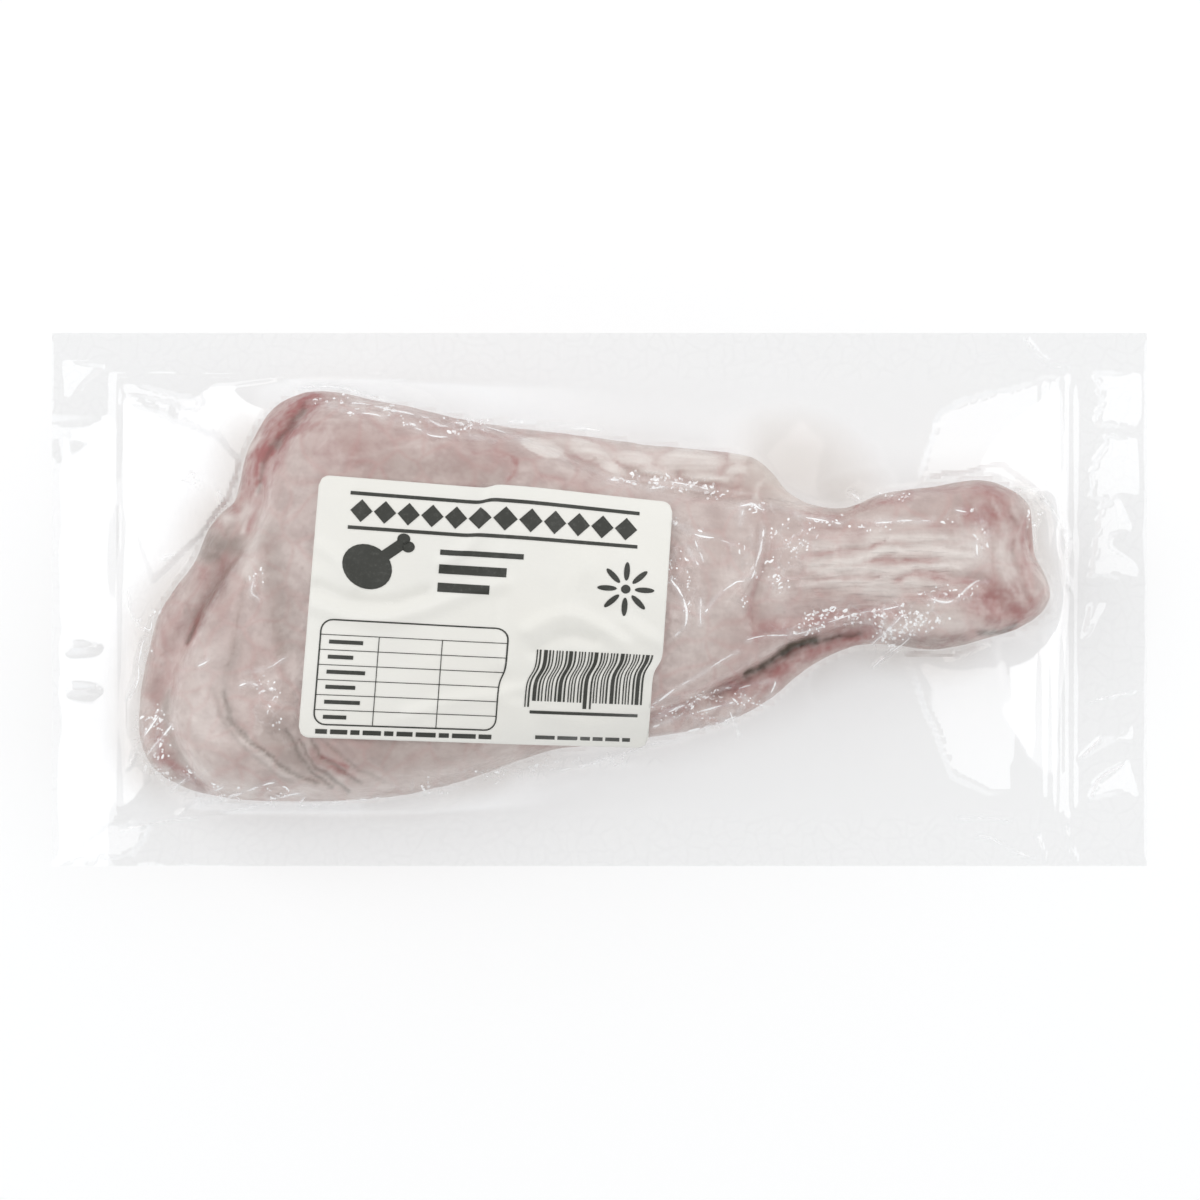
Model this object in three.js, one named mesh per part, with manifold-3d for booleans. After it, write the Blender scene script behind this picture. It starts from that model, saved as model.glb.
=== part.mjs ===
// A raw turkey drumstick in a clear vacuum pouch, with a paper label stuck on top.
//
// Millimetres, +Z up. The origin is on the table under the middle of the pouch. +X runs from
// the thick cut end to the shank, and the label's long side runs roughly along it.
//
// The film is drawn tight over the meat, so the pouch is one solid with the meat's outer form.
// Its flat margin is the two films sealed together. The drumstick has two layers that show:
// a lower layer that fills the whole outline, and an upper layer of skin and muscle that lies
// on it and ends in a rounded edge at the cut end and along the shank.
import * as THREE from "three";
import Module from "manifold-3d";

const wasm = await Module();
wasm.setup();
const { CrossSection, Manifold, Mesh } = wasm;

// ---------------------------------------------------------------- driving dimensions

const POUCH_LENGTH = 305;
const POUCH_WIDTH = 148.4;
const MARGIN_THICKNESS = 1.2;

// The pocket is the part of the pouch inside its sealed margins. A low ridge runs round it,
// where the seal was pressed.
const POCKET = { left: -134.5, right: 129.4, front: -60.0, back: 61.5 };
const SEAL_RIDGE = { height: 0.6, halfWidth: 1.2 };
const MARGIN_HEIGHT = 9.0;
const MARGIN_DROOP = 3.5;
const MARGIN_WAVE = 0.8;

// How the film leaves the meat: it spans hollows narrower than this instead of following them.
const FILM_BRIDGE = 5.0;

const LABEL_THICKNESS = 0.6;
const LABEL_GAP = 0.4;
const LABEL_CORNER_RADIUS = 4.0;
const LABEL_CORNERS = {
  backLeft: [-77.6, 34.6],
  backRight: [19.2, 26.8],
  frontRight: [14.6, -41.4],
  frontLeft: [-83.6, -38.2],
};

// How round a layer's side is: 2 is a quarter of an ellipse, more is fuller.
const FULLNESS = 2.1;

// Sizes that change along X: [x, size] rows, joined by a smooth curve.
const WIDEST_HEIGHT = [[-128, 13], [-95, 15], [-50, 18], [20, 17], [126, 16]];
const LOWER_RISE = [[-128, 17], [-110, 21], [-70, 19], [-20, 15], [30, 9], [126, 8]];
const LOWER_ROUNDING = [[-128, 15], [-60, 17], [30, 9], [126, 8]];
const CROWN_HEIGHT = [
  [-118, 44], [-95, 52], [-65, 58.5], [-35, 60], [0, 55], [32, 47], [62, 40], [90, 38.5], [122, 34],
];
const UPPER_ROUNDING = [[-118, 30], [-80, 44], [-30, 46], [5, 38], [35, 28], [65, 21], [122, 17]];
const UNDERSIDE_ROUNDING = [[-128, 26], [-60, 38], [0, 32], [40, 22], [126, 16]];

const SKIN_EDGE_HEIGHT = 4.5;
const SKIN_EDGE_WIDTH = 5;

// How much deeper the underside would reach if the table did not flatten it.
const UNDERSIDE_PRESSED = 2.5;

// ---------------------------------------------------------------- outlines

// The whole drumstick from above, clockwise from the back corner of its cut end.
const DRUMSTICK_OUTLINE = [
  [-80, 58], [-60, 55], [-33, 49.2], [-8, 46], [16, 42.8], [36, 41.4], [49, 40.6],
  [54.5, 29], [68, 25.4], [79, 29.6], [94, 31.4], [108, 33], [116.5, 29.6], [121, 18],
  [124.6, 6.8], [126, -1.5], [122, -7], [110, -10.8], [93, -14], [78, -13.2],
  [60, -18], [46, -26.6], [28, -33.6], [10, -40.6], [-15, -45.8], [-38, -50.8],
  [-60, -55.2], [-85, -56.2], [-106, -55], [-121, -46], [-127.6, -36], [-128.4, -24],
  [-125, -9], [-116, 5], [-108.5, 19], [-101.5, 30], [-99, 42], [-91, 53],
];

// The upper layer from above, in the same order.
const UPPER_OUTLINE = [
  [-79, 58], [-60, 55], [-33, 49], [-15, 42.6], [5, 34.4], [24, 30], [48, 27.8],
  [68, 25.4], [79, 29.6], [94, 31.4], [108, 33], [116.5, 29.6], [121, 18],
  [124.6, 6.8], [126, -1.5], [122, -7], [110, -10.8], [93, -14], [83, -12],
  [74, -5.6], [58, -11.6], [40, -20.4], [18, -31], [2, -40], [-15, -45.8],
  [-38, -50.8], [-60, -55.2], [-85, -56.2], [-104, -55], [-113, -46], [-118.5, -35],
  [-118.8, -26], [-115, -14], [-108.5, 0], [-101, 12], [-94.4, 24], [-88, 40],
];

// Folds and furrows, as lines from above. depth is negative for a ridge.
const CREASES = [
  { name: "cut end valley", depth: 7, width: 4.5, line: [[-98, 27], [-104, 14], [-110, 2], [-117, -14], [-123, -25]] },
  { name: "gap under the calf", depth: 7, width: 4, line: [[20, -31], [40, -22], [58, -13.6], [74, -7.6]] },
  { name: "thigh skin fold", depth: 3, width: 3.5, line: [[-95, 22], [-99, 4], [-103, -16], [-106, -28]] },
  { name: "corner skin roll", depth: -3, width: 3.2, line: [[-107, -26], [-103, -38], [-94, -46], [-80, -52.5]] },
  { name: "corner skin furrow", depth: 3, width: 3.5, line: [[-103, -45], [-94, -51], [-80, -56]] },
  { name: "back fat furrow", depth: 3.5, width: 3, line: [[-22, 44], [0, 37], [25, 32.4], [50, 30]] },
  { name: "back fat roll", depth: -2.5, width: 4, line: [[-4, 41], [16, 38.5], [40, 37]] },
  { name: "shin furrow", depth: 2, width: 3, line: [[62, 12], [78, 15], [96, 12.5], [110, 11]] },
  { name: "front shin furrow", depth: 2, width: 3, line: [[56, 0], [76, 4], [98, 6.5]] },
  { name: "ankle furrow", depth: 2, width: 3, line: [[112, 24], [115, 10], [117, -2]] },
  { name: "film fold", depth: 1.6, width: 2.6, line: [[44, 22], [42, 10], [39, -2]] },
];

// ---------------------------------------------------------------- maths

const clamp = (value, low, high) => Math.min(Math.max(value, low), high);

// The higher of two surfaces, with the corner between them rounded over the width k.
function smoothMax(a, b, k) {
  const overlap = Math.max(k - Math.abs(a - b), 0) / k;
  return Math.max(a, b) + (overlap * overlap * k) / 4;
}

// A size that changes along X, read from its rows.
function sizeAt(rows, x) {
  const last = rows.length - 1;
  if (x <= rows[0][0]) return rows[0][1];
  if (x >= rows[last][0]) return rows[last][1];
  const i = rows.findIndex((row) => x < row[0]);
  const [x0, size0] = rows[i - 1];
  const [x1, size1] = rows[i];
  const t = (x - x0) / (x1 - x0);
  return size0 + (size1 - size0) * t * t * (3 - 2 * t);
}

// How far a layer has risen at a distance inside its outline, from 0 at the outline to 1.
function rise(distance, rounding) {
  const left = 1 - clamp(distance / rounding, 0, 1);
  return (1 - left ** FULLNESS) ** (1 / FULLNESS);
}

function curveThrough(points, closed, pieces) {
  const knots = points.map(([x, y]) => new THREE.Vector3(x, y, 0));
  const curve = new THREE.CatmullRomCurve3(knots, closed, "centripetal");
  return curve.getPoints(pieces).map((p) => [p.x, p.y]);
}

function distanceToLine(line, x, y) {
  let nearest = Infinity;
  for (let i = 1; i < line.length; i += 1) {
    const [ax, ay] = line[i - 1];
    const [bx, by] = line[i];
    const dx = bx - ax;
    const dy = by - ay;
    const along = clamp(((x - ax) * dx + (y - ay) * dy) / (dx * dx + dy * dy || 1), 0, 1);
    nearest = Math.min(nearest, Math.hypot(x - ax - along * dx, y - ay - along * dy));
  }
  return nearest;
}

// Distance to a closed outline, positive inside it.
function distanceInside(outline, x, y) {
  let inside = false;
  for (let i = 1; i < outline.length; i += 1) {
    const [ax, ay] = outline[i - 1];
    const [bx, by] = outline[i];
    const crosses = ay > y !== by > y && x < ax + ((bx - ax) * (y - ay)) / (by - ay);
    if (crosses) inside = !inside;
  }
  return distanceToLine(outline, x, y) * (inside ? 1 : -1);
}

// ---------------------------------------------------------------- the drumstick

const drumstickOutline = curveThrough(DRUMSTICK_OUTLINE, true, 260);
const upperOutline = curveThrough(UPPER_OUTLINE, true, 260);
const creases = CREASES.map((crease) => ({ ...crease, line: curveThrough(crease.line, false, 16) }));

// What the folds and furrows take off the top. It fades out near the outline.
function creaseDepth(x, y) {
  return creases.reduce((sum, { line, width, depth }) => {
    const away = distanceToLine(line, x, y) / (width / 2);
    return sum + depth * Math.exp(-away * away);
  }, 0);
}

function drumstickTop(x, y) {
  const inside = distanceInside(drumstickOutline, x, y);
  const widest = sizeAt(WIDEST_HEIGHT, x);
  if (inside <= 0) return widest + 3 * inside;
  const lowerRise = sizeAt(LOWER_RISE, x);
  const lower = widest + lowerRise * rise(inside, sizeAt(LOWER_ROUNDING, x));
  const onUpper = distanceInside(upperOutline, x, y);
  const crown = sizeAt(CROWN_HEIGHT, x) - widest - lowerRise - SKIN_EDGE_HEIGHT;
  const upper = SKIN_EDGE_HEIGHT * rise(onUpper, SKIN_EDGE_WIDTH)
    + crown * rise(onUpper, sizeAt(UPPER_ROUNDING, x));
  return lower + upper - creaseDepth(x, y) * clamp(inside / 5, 0, 1);
}

function drumstickUnderside(x, y) {
  const inside = distanceInside(drumstickOutline, x, y);
  const widest = sizeAt(WIDEST_HEIGHT, x);
  if (inside <= 0) return widest - 3 * inside;
  const reach = widest + UNDERSIDE_PRESSED;
  return widest - reach * rise(inside, sizeAt(UNDERSIDE_ROUNDING, x));
}

// ---------------------------------------------------------------- the film

// Distance inside the pocket's rim, positive inside it.
function insidePocket(x, y) {
  const { left, right, front, back } = POCKET;
  return Math.min(x - left, right - x, y - front, back - y);
}

function sealRidge(x, y) {
  const away = insidePocket(x, y) / SEAL_RIDGE.halfWidth;
  return SEAL_RIDGE.height * Math.exp(-1.5 * away * away);
}

// The sealed margin: it droops towards its ends and waves a little.
function marginHeight(x, y) {
  const endward = Math.abs(x) / (POUCH_LENGTH / 2);
  const wave = Math.sin(x / 19) * Math.cos(y / 13) + 0.6 * Math.sin(x / 7.3 + y / 23);
  return MARGIN_HEIGHT - MARGIN_DROOP * endward ** 4 + MARGIN_WAVE * wave;
}

// Where the two films meet beside the meat: at its widest height next to it, at the margin's
// height from the pocket's rim outwards.
function meetingHeight(x, y) {
  const margin = marginHeight(x, y);
  const toRim = Math.max(insidePocket(x, y), 0);
  const toMeat = Math.max(-distanceInside(drumstickOutline, x, y), 0);
  const share = toRim / (toRim + toMeat + 1e-6);
  return margin + (sizeAt(WIDEST_HEIGHT, x) - margin) * share ** 1.2;
}

function filmTop(x, y) {
  const joined = meetingHeight(x, y) + MARGIN_THICKNESS / 2 + sealRidge(x, y);
  return smoothMax(joined, drumstickTop(x, y), FILM_BRIDGE);
}

function filmUnderside(x, y) {
  const joined = meetingHeight(x, y) - MARGIN_THICKNESS / 2;
  return Math.max(0, -smoothMax(-joined, -drumstickUnderside(x, y), FILM_BRIDGE));
}

// ---------------------------------------------------------------- meshes

// A closed solid between two height functions, over a grid of columns of [x, y] points.
function solidBetween(columns, top, underside) {
  const across = columns[0].length;
  const count = columns.length * across;
  const places = columns.flat();
  const positions = [
    ...places.map(([x, y]) => [x, y, top(x, y)]),
    ...places.map(([x, y]) => [x, y, underside(x, y)]),
  ];
  const at = (column, row) => column * across + row;
  const triangles = [];
  const quad = (a, b, c, d) => triangles.push([a, b, c], [a, c, d]);
  for (let i = 1; i < columns.length; i += 1) {
    for (let j = 1; j < across; j += 1) {
      const corners = [at(i - 1, j - 1), at(i, j - 1), at(i, j), at(i - 1, j)];
      quad(...corners);
      const [a, b, c, d] = corners.map((corner) => corner + count);
      triangles.push([a, c, b], [a, d, c]);
    }
  }
  const rim = [
    ...columns.map((_, i) => at(i, 0)),
    ...columns[0].map((_, j) => at(columns.length - 1, j)).slice(1),
    ...columns.map((_, i) => at(columns.length - 1 - i, across - 1)).slice(1),
    ...columns[0].map((_, j) => at(0, across - 1 - j)).slice(1, -1),
  ];
  rim.forEach((here, i) => {
    const next = rim[(i + 1) % rim.length];
    quad(here, here + count, next + count, next);
  });
  const vertProperties = new Float32Array(positions.flat());
  const triVerts = new Uint32Array(triangles.flat());
  return new Manifold(new Mesh({ numProp: 3, vertProperties, triVerts }));
}

function meshOf(solid, name, material) {
  const { vertProperties, numProp, triVerts } = solid.getMesh();
  const geometry = new THREE.BufferGeometry();
  const places = new THREE.InterleavedBuffer(vertProperties, numProp);
  geometry.setAttribute("position", new THREE.InterleavedBufferAttribute(places, 3, 0));
  geometry.setIndex(new THREE.BufferAttribute(triVerts, 1));
  geometry.computeVertexNormals();
  const mesh = new THREE.Mesh(geometry, material);
  mesh.name = name;
  return mesh;
}

const spaced = (from, to, pieces) =>
  Array.from({ length: pieces + 1 }, (_, i) => from + ((to - from) * i) / pieces);

// Where the outline crosses a line across the pouch at x: [front, back].
function crossings(x) {
  const xs = drumstickOutline.map((p) => p[0]);
  const reachable = clamp(x, Math.min(...xs) + 0.3, Math.max(...xs) - 0.3);
  const found = [];
  for (let i = 1; i < drumstickOutline.length; i += 1) {
    const [ax, ay] = drumstickOutline[i - 1];
    const [bx, by] = drumstickOutline[i];
    if (ax > reachable !== bx > reachable) {
      found.push(ay + ((by - ay) * (reachable - ax)) / (bx - ax));
    }
  }
  return [Math.min(...found), Math.max(...found)];
}

// The rows of a margin, from the pouch's edge to the meat: over the seal ridge, then the slope.
function marginRows(edge, rim, meat) {
  const inward = Math.sign(rim - edge) * SEAL_RIDGE.halfWidth;
  return [edge, rim - inward, rim, ...spaced(rim + inward, meat, 2)];
}

// The pouch's grid: its rows follow the drumstick's outline and close up towards it, so that
// few faces give the meat a clean side.
function pouchColumns() {
  const half = POUCH_WIDTH / 2;
  const end = POUCH_LENGTH / 2;
  const stations = [
    -end,
    (POCKET.left - end) / 2,
    ...spaced(POCKET.left - SEAL_RIDGE.halfWidth, POCKET.left + SEAL_RIDGE.halfWidth, 2),
    ...spaced(-130, -88, 15),
    ...spaced(-88, 42, 31).slice(1),
    ...spaced(42, 58, 7).slice(1),
    ...spaced(58, 112, 13).slice(1),
    ...spaced(112, 126.4, 6).slice(1),
    ...spaced(POCKET.right - SEAL_RIDGE.halfWidth, POCKET.right + SEAL_RIDGE.halfWidth, 2),
    (POCKET.right + end) / 2,
    end,
  ];
  const steepest = 1.3;
  return stations.map((x) => {
    const [front, back] = crossings(x);
    const middle = (front + back) / 2;
    const halfMeat = (back - front) / 2;
    const meat = spaced(-steepest, steepest, 24)
      .map((a) => middle + (halfMeat * Math.sin(a)) / Math.sin(steepest));
    const frontMargin = marginRows(-half, POCKET.front, front).slice(0, -1);
    const backMargin = marginRows(half, POCKET.back, back).slice(0, -1).reverse();
    return [...frontMargin, ...meat, ...backMargin].map((y) => [x, y]);
  });
}

// The label: a sheet lifted off the pouch's own grid, cut to the label's outline.
function labelSolid(columns) {
  const { backLeft, backRight, frontRight, frontLeft } = LABEL_CORNERS;
  const outline = new CrossSection([frontLeft, frontRight, backRight, backLeft])
    .offset(-LABEL_CORNER_RADIUS, "Miter", 4)
    .offset(LABEL_CORNER_RADIUS, "Round", 2, 24);
  const underside = (x, y) => filmTop(x, y) + LABEL_GAP;
  const top = (x, y) => underside(x, y) + LABEL_THICKNESS;
  return solidBetween(columns, top, underside).intersect(outline.extrude(100));
}

// ---------------------------------------------------------------- the pack

const packedMeat = new THREE.MeshStandardMaterial({ color: 0xc9afaa, roughness: 0.3, metalness: 0 });
const labelPaper = new THREE.MeshStandardMaterial({ color: 0xefefe9, roughness: 0.6, metalness: 0 });

const columns = pouchColumns();
const pack = new THREE.Group();
pack.add(
  meshOf(solidBetween(columns, filmTop, filmUnderside), "vacuum_pouch", packedMeat),
  meshOf(labelSolid(columns), "label", labelPaper),
);

export default pack;
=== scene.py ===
"""A raw turkey drumstick in a clear vacuum pouch with a printed paper label, from straight above.

Shapes are worked out in millimetres, in the frame of the CAD model: +X runs from the thick cut
end to the shank, +Y to the back edge of the pouch, +Z up. They turn into metres in new_piece().
"""
import itertools
import math

import bpy
import numpy as np
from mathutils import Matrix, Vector


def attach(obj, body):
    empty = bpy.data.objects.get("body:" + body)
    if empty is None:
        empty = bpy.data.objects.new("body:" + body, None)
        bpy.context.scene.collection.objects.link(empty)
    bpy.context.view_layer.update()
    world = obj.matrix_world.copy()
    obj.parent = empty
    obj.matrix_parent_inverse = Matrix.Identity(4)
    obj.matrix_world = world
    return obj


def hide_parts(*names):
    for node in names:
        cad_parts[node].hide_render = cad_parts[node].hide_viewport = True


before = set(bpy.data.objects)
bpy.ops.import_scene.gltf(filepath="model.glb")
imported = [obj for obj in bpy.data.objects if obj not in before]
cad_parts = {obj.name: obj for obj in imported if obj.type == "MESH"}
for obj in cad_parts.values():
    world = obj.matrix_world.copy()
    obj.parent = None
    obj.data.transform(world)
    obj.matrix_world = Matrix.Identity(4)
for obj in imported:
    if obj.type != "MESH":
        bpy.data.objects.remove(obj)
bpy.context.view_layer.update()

MM = 0.001

# ---------------------------------------------------------------- driving dimensions, mm

POUCH_LENGTH, POUCH_WIDTH = 305.0, 148.4
POCKET_LEFT, POCKET_RIGHT, POCKET_FRONT, POCKET_BACK = -134.5, 129.4, -60.0, 61.5
MARGIN_HEIGHT = 9.0
FILM_SPACING = 0.8
FILM_CLEARANCE = 0.6
FILM_BRIDGE = 5.0
FILM_LAYERS_APART = 0.4
FOLD_LIFT = 0.12

MEAT_SPACING = 0.9
FULLNESS = 2.1
SKIN_EDGE_HEIGHT, SKIN_EDGE_WIDTH = 4.5, 4.0
UNDERSIDE_PRESSED = 2.5

# Sizes that change along X: [x, size] rows, joined by a smooth curve.
WIDEST_HEIGHT = [(-128, 13), (-95, 15), (-50, 18), (20, 17), (126, 16)]
LOWER_RISE = [(-128, 17), (-110, 21), (-70, 19), (-20, 15), (30, 9), (126, 8)]
LOWER_ROUNDING = [(-128, 15), (-60, 17), (30, 9), (126, 8)]
CROWN_HEIGHT = [
    (-118, 43.5), (-95, 51), (-65, 57.2), (-35, 58.6), (0, 53.8), (32, 46.4), (62, 40), (90, 38.5), (122, 34),
]
UPPER_ROUNDING = [(-118, 30), (-80, 44), (-30, 46), (5, 38), (35, 28), (65, 21), (122, 17)]
UNDERSIDE_ROUNDING = [(-128, 26), (-60, 38), (0, 32), (40, 22), (126, 16)]

# The whole drumstick from above, clockwise from the back corner of its cut end.
DRUMSTICK_OUTLINE = [
    (-80, 58), (-60, 55), (-33, 49.2), (-8, 46), (16, 42.8), (34, 41.2), (42, 39.6),
    (48, 35.4), (52, 30.4), (58, 26.8), (68, 25.4), (79, 29.6), (94, 31.6), (106, 33.2),
    (113, 31.2), (118.6, 27.4), (120.6, 23.4), (119.8, 18.4), (121, 12.4), (124, 6.8), (125.4, 0.8),
    (123, -3.8), (117.4, -7.6), (109, -10.4), (94, -14), (84, -13),
    (76.4, -12.4), (70, -13.2), (63, -16.2), (55.4, -21), (49, -26.6), (41, -31.6), (29, -35.8),
    (14.6, -38.4), (0, -40.2), (-13, -42), (-23, -45.2), (-39, -50.8),
    (-60, -55.2), (-85, -56.2), (-104, -55.2), (-116, -52), (-124.4, -46.6), (-128, -38), (-128, -28),
    (-126, -17), (-123, -5), (-117.4, 4), (-112.4, 11), (-108.8, 19.4), (-104.6, 24.6), (-101.2, 27.4),
    (-100, 33), (-98.2, 41), (-94.6, 47.8), (-90, 53.8),
]

# The upper layer of skin and muscle from above, in the same order.
UPPER_OUTLINE = [
    (-78, 55), (-60, 54.6), (-33, 49), (-15, 42.6), (5, 34.4), (24, 30), (48, 27.8),
    (68, 25.4), (79, 29.6), (94, 31.6), (106, 33.2), (113, 31.2), (118.6, 27.4), (120.6, 23.4),
    (119.8, 18.4), (121, 12.4), (124, 6.8), (125.4, 0.8), (123, -3.8), (117.4, -7.6), (109, -10.4),
    (94, -14.1), (83, -12),
    (73, -7), (62, -9.8), (52, -13.6), (44, -18.6), (38.6, -21.8), (26, -27.6), (14, -32), (2, -36.4),
    (-8, -40), (-23, -45.2), (-39, -50.8), (-60, -55.2), (-85, -56.2), (-104, -55), (-113, -46), (-118.5, -35),
    (-118.8, -26), (-115, -14), (-108.5, 0), (-101, 11), (-95.8, 19),
    (-93.6, 26), (-92.6, 32.4), (-91, 37.7), (-87.9, 43.7), (-82.6, 50),
]

# Furrows and rolls of the meat: (depth, width, line from above). A roll has a negative depth.
MEAT_FOLDS = {
    "cut end valley": (3.4, 6, [(-98, 27), (-104, 14), (-110, 2), (-117, -14), (-123, -25)]),
    "gap under the calf": (2.8, 2.0, [(30, -26.4), (38.9, -22.2), (43.5, -19.2), (48, -16.2), (52.8, -13.8), (57.4, -11.6), (70, -8.8)]),
    "gap lower lip": (-1.3, 4, [(24, -32.6), (38, -27.4), (50, -20.6), (60, -15.4)]),
    "cut end fold": (1.6, 1.7, [(-97, 20), (-97.6, 11), (-98.6, 0), (-100.6, -11), (-103, -20)]),
    "cut end short fold": (1.2, 1.3, [(-96.4, 2), (-98.4, -9), (-99.8, -15), (-101.6, -23)]),
    "cut end thin fold": (0.9, 1.2, [(-95.4, 16), (-95.2, 6), (-96, -4), (-96.6, -14)]),
    "thigh plane edge": (-1.0, 5, [(-94.5, 24), (-93.4, 8), (-91, -10), (-90, -24), (-94, -40)]),
    "corner roll": (-1.3, 3.2, [(-105.4, -27), (-103.4, -33.4), (-99.6, -39), (-93.4, -44.4), (-86, -48.6), (-79, -51.4)]),
    "corner furrow": (1.3, 1.6, [(-106.8, -25.2), (-105, -32.2), (-101.5, -37.7), (-97.3, -42.6), (-91.8, -46.8), (-84.8, -50.3)]),
    "corner inner furrow": (1.3, 1.8, [(-104.3, -26), (-102.4, -33), (-98, -38.4), (-92.4, -42.8), (-87, -46.4), (-78, -50.6)]),
    "front furrow one": (1.2, 1.6, [(-92, -33), (-88.4, -38), (-83, -44.6), (-77.6, -51)]),
    "front furrow two": (1.7, 1.5, [(-87.6, -36), (-84.4, -41.2), (-79.2, -47.4), (-74, -52.4)]),
    "front furrow three": (1.7, 1.5, [(-83.4, -39.1), (-79.2, -44.7), (-73.7, -50.3), (-69.5, -53.1)]),
    "front furrow four": (1.7, 1.4, [(-79.2, -39.8), (-75.1, -44.7), (-70.2, -48.9), (-66.7, -51)]),
    "front furrow five": (1.5, 1.4, [(-75.1, -40.2), (-70.9, -44), (-66.7, -47.5), (-60, -51)]),
    "front furrow six": (1.1, 1.4, [(-70, -40.4), (-65, -45), (-58, -49)]),
    "front furrow seven": (1.0, 1.5, [(-62, -40.6), (-57, -45.4), (-50, -48.4)]),
    "front furrow eight": (0.9, 1.4, [(-98.4, -44), (-94, -49), (-90, -53)]),
    "front furrow nine": (0.8, 1.3, [(-102, -42.4), (-98.4, -48), (-95, -53)]),
    "back fat edge": (0.7, 2.4, [(-24, 45), (-15, 42.6), (-4, 38.8), (8, 34.6), (25, 32), (44, 29.6)]),
    "back skin furrow": (0.9, 1.4, [(-16.6, 35), (-5, 33.8), (8, 32.6)]),
    "back fat loop": (-1.4, 2.0, [(43.6, 28), (44.6, 32.4), (47, 34.4), (49.6, 32), (50.4, 28)]),
    "loose skin": (-0.4, 2.0, [(-72, 39.6), (-59, 41), (-50, 41.8), (-42, 43.4), (-39, 40.4), (-31, 41.4)]),
    "loose skin end": (0.9, 1.6, [(-28, 41.4), (-23.6, 38.8), (-22.8, 36), (-24.4, 33)]),
    "knee fold": (1.8, 2.2, [(46.4, 20), (45, 11), (43.6, 4), (41.4, -6)]),
    "knee roll": (-1.2, 2.6, [(43, 20), (42, 11), (40.4, 3), (36, -2)]),
    "shin furrow one": (1.8, 1.5, [(58, 10.4), (65.6, 13), (72.6, 14.2), (80, 15.4)]),
    "shin furrow two": (1.9, 1.4, [(71, 10), (78, 11.4), (86, 10.4), (94, 11.2)]),
    "shin furrow three": (1.3, 1.3, [(55.6, 7.4), (64, 8), (71, 7.4)]),
    "shin furrow four": (2.0, 1.7, [(83, 6), (91, 7.2), (100, 6), (107, 6.4)]),
    "shin furrow five": (1.3, 1.5, [(56, 1.6), (64, 2.6), (72, 4.2)]),
    "shin furrow six": (1.5, 2.0, [(82, 1.6), (94, 3.0), (107, 4.6)]),
    "shin furrow seven": (1.0, 1.3, [(80, 16.8), (90, 18.4), (98, 18)]),
    "shin furrow eight": (1.2, 1.4, [(60, 5), (69, 6.2), (78, 7)]),
    "shin furrow nine": (1.0, 1.2, [(84, 14), (93, 15), (101, 13.6)]),
    "shin front hollow": (2.0, 4.6, [(50, -5), (66, -3), (80, -1.6)]),
    "shin back hollow": (1.6, 4, [(56, 22), (66, 19), (74, 21)]),
    "ankle cord one": (-0.7, 1.5, [(109.6, 29.4), (111.6, 22), (110.8, 15), (112.6, 7), (116, 1)]),
    "ankle cord two": (-0.8, 1.5, [(114.8, 28.4), (116.8, 21), (116.2, 15), (118.8, 6.4), (121.4, 0.4)]),
    "ankle furrow": (1.9, 1.8, [(112.6, 29), (114.4, 21.6), (113.4, 15.2), (115.8, 6.5), (119, 0.1)]),
    "ankle second furrow": (1.1, 1.6, [(101, 27), (106.6, 21.4), (109, 13.6), (109.4, 8)]),
    "knuckle dent": (2.0, 6, [(107, 1), (111, -1), (115, -4)]),
    "knuckle back dent": (1.4, 4.5, [(108, 26), (111, 24)]),
}

# Lumps of fat along the back edge: (height, x, y, half length, half width, turn in degrees).
FAT_LUMPS = [
    (1.1, -16, 42.2, 6, 2.4, -18), (1.5, -3, 41, 7, 2.8, -20), (1.4, 9.4, 39.4, 6, 2.4, -12),
    (1.0, 3, 37, 6, 1.6, -24), (1.7, 25.4, 38.4, 9.4, 3.2, 2), (1.0, 15, 35.8, 7, 1.5, -14),
    (1.5, 38.6, 40, 3.0, 2.2, 0), (1.3, 38.4, 36.2, 3.2, 1.9, 8), (0.8, 30, 34, 7, 1.4, -6),
]

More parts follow.
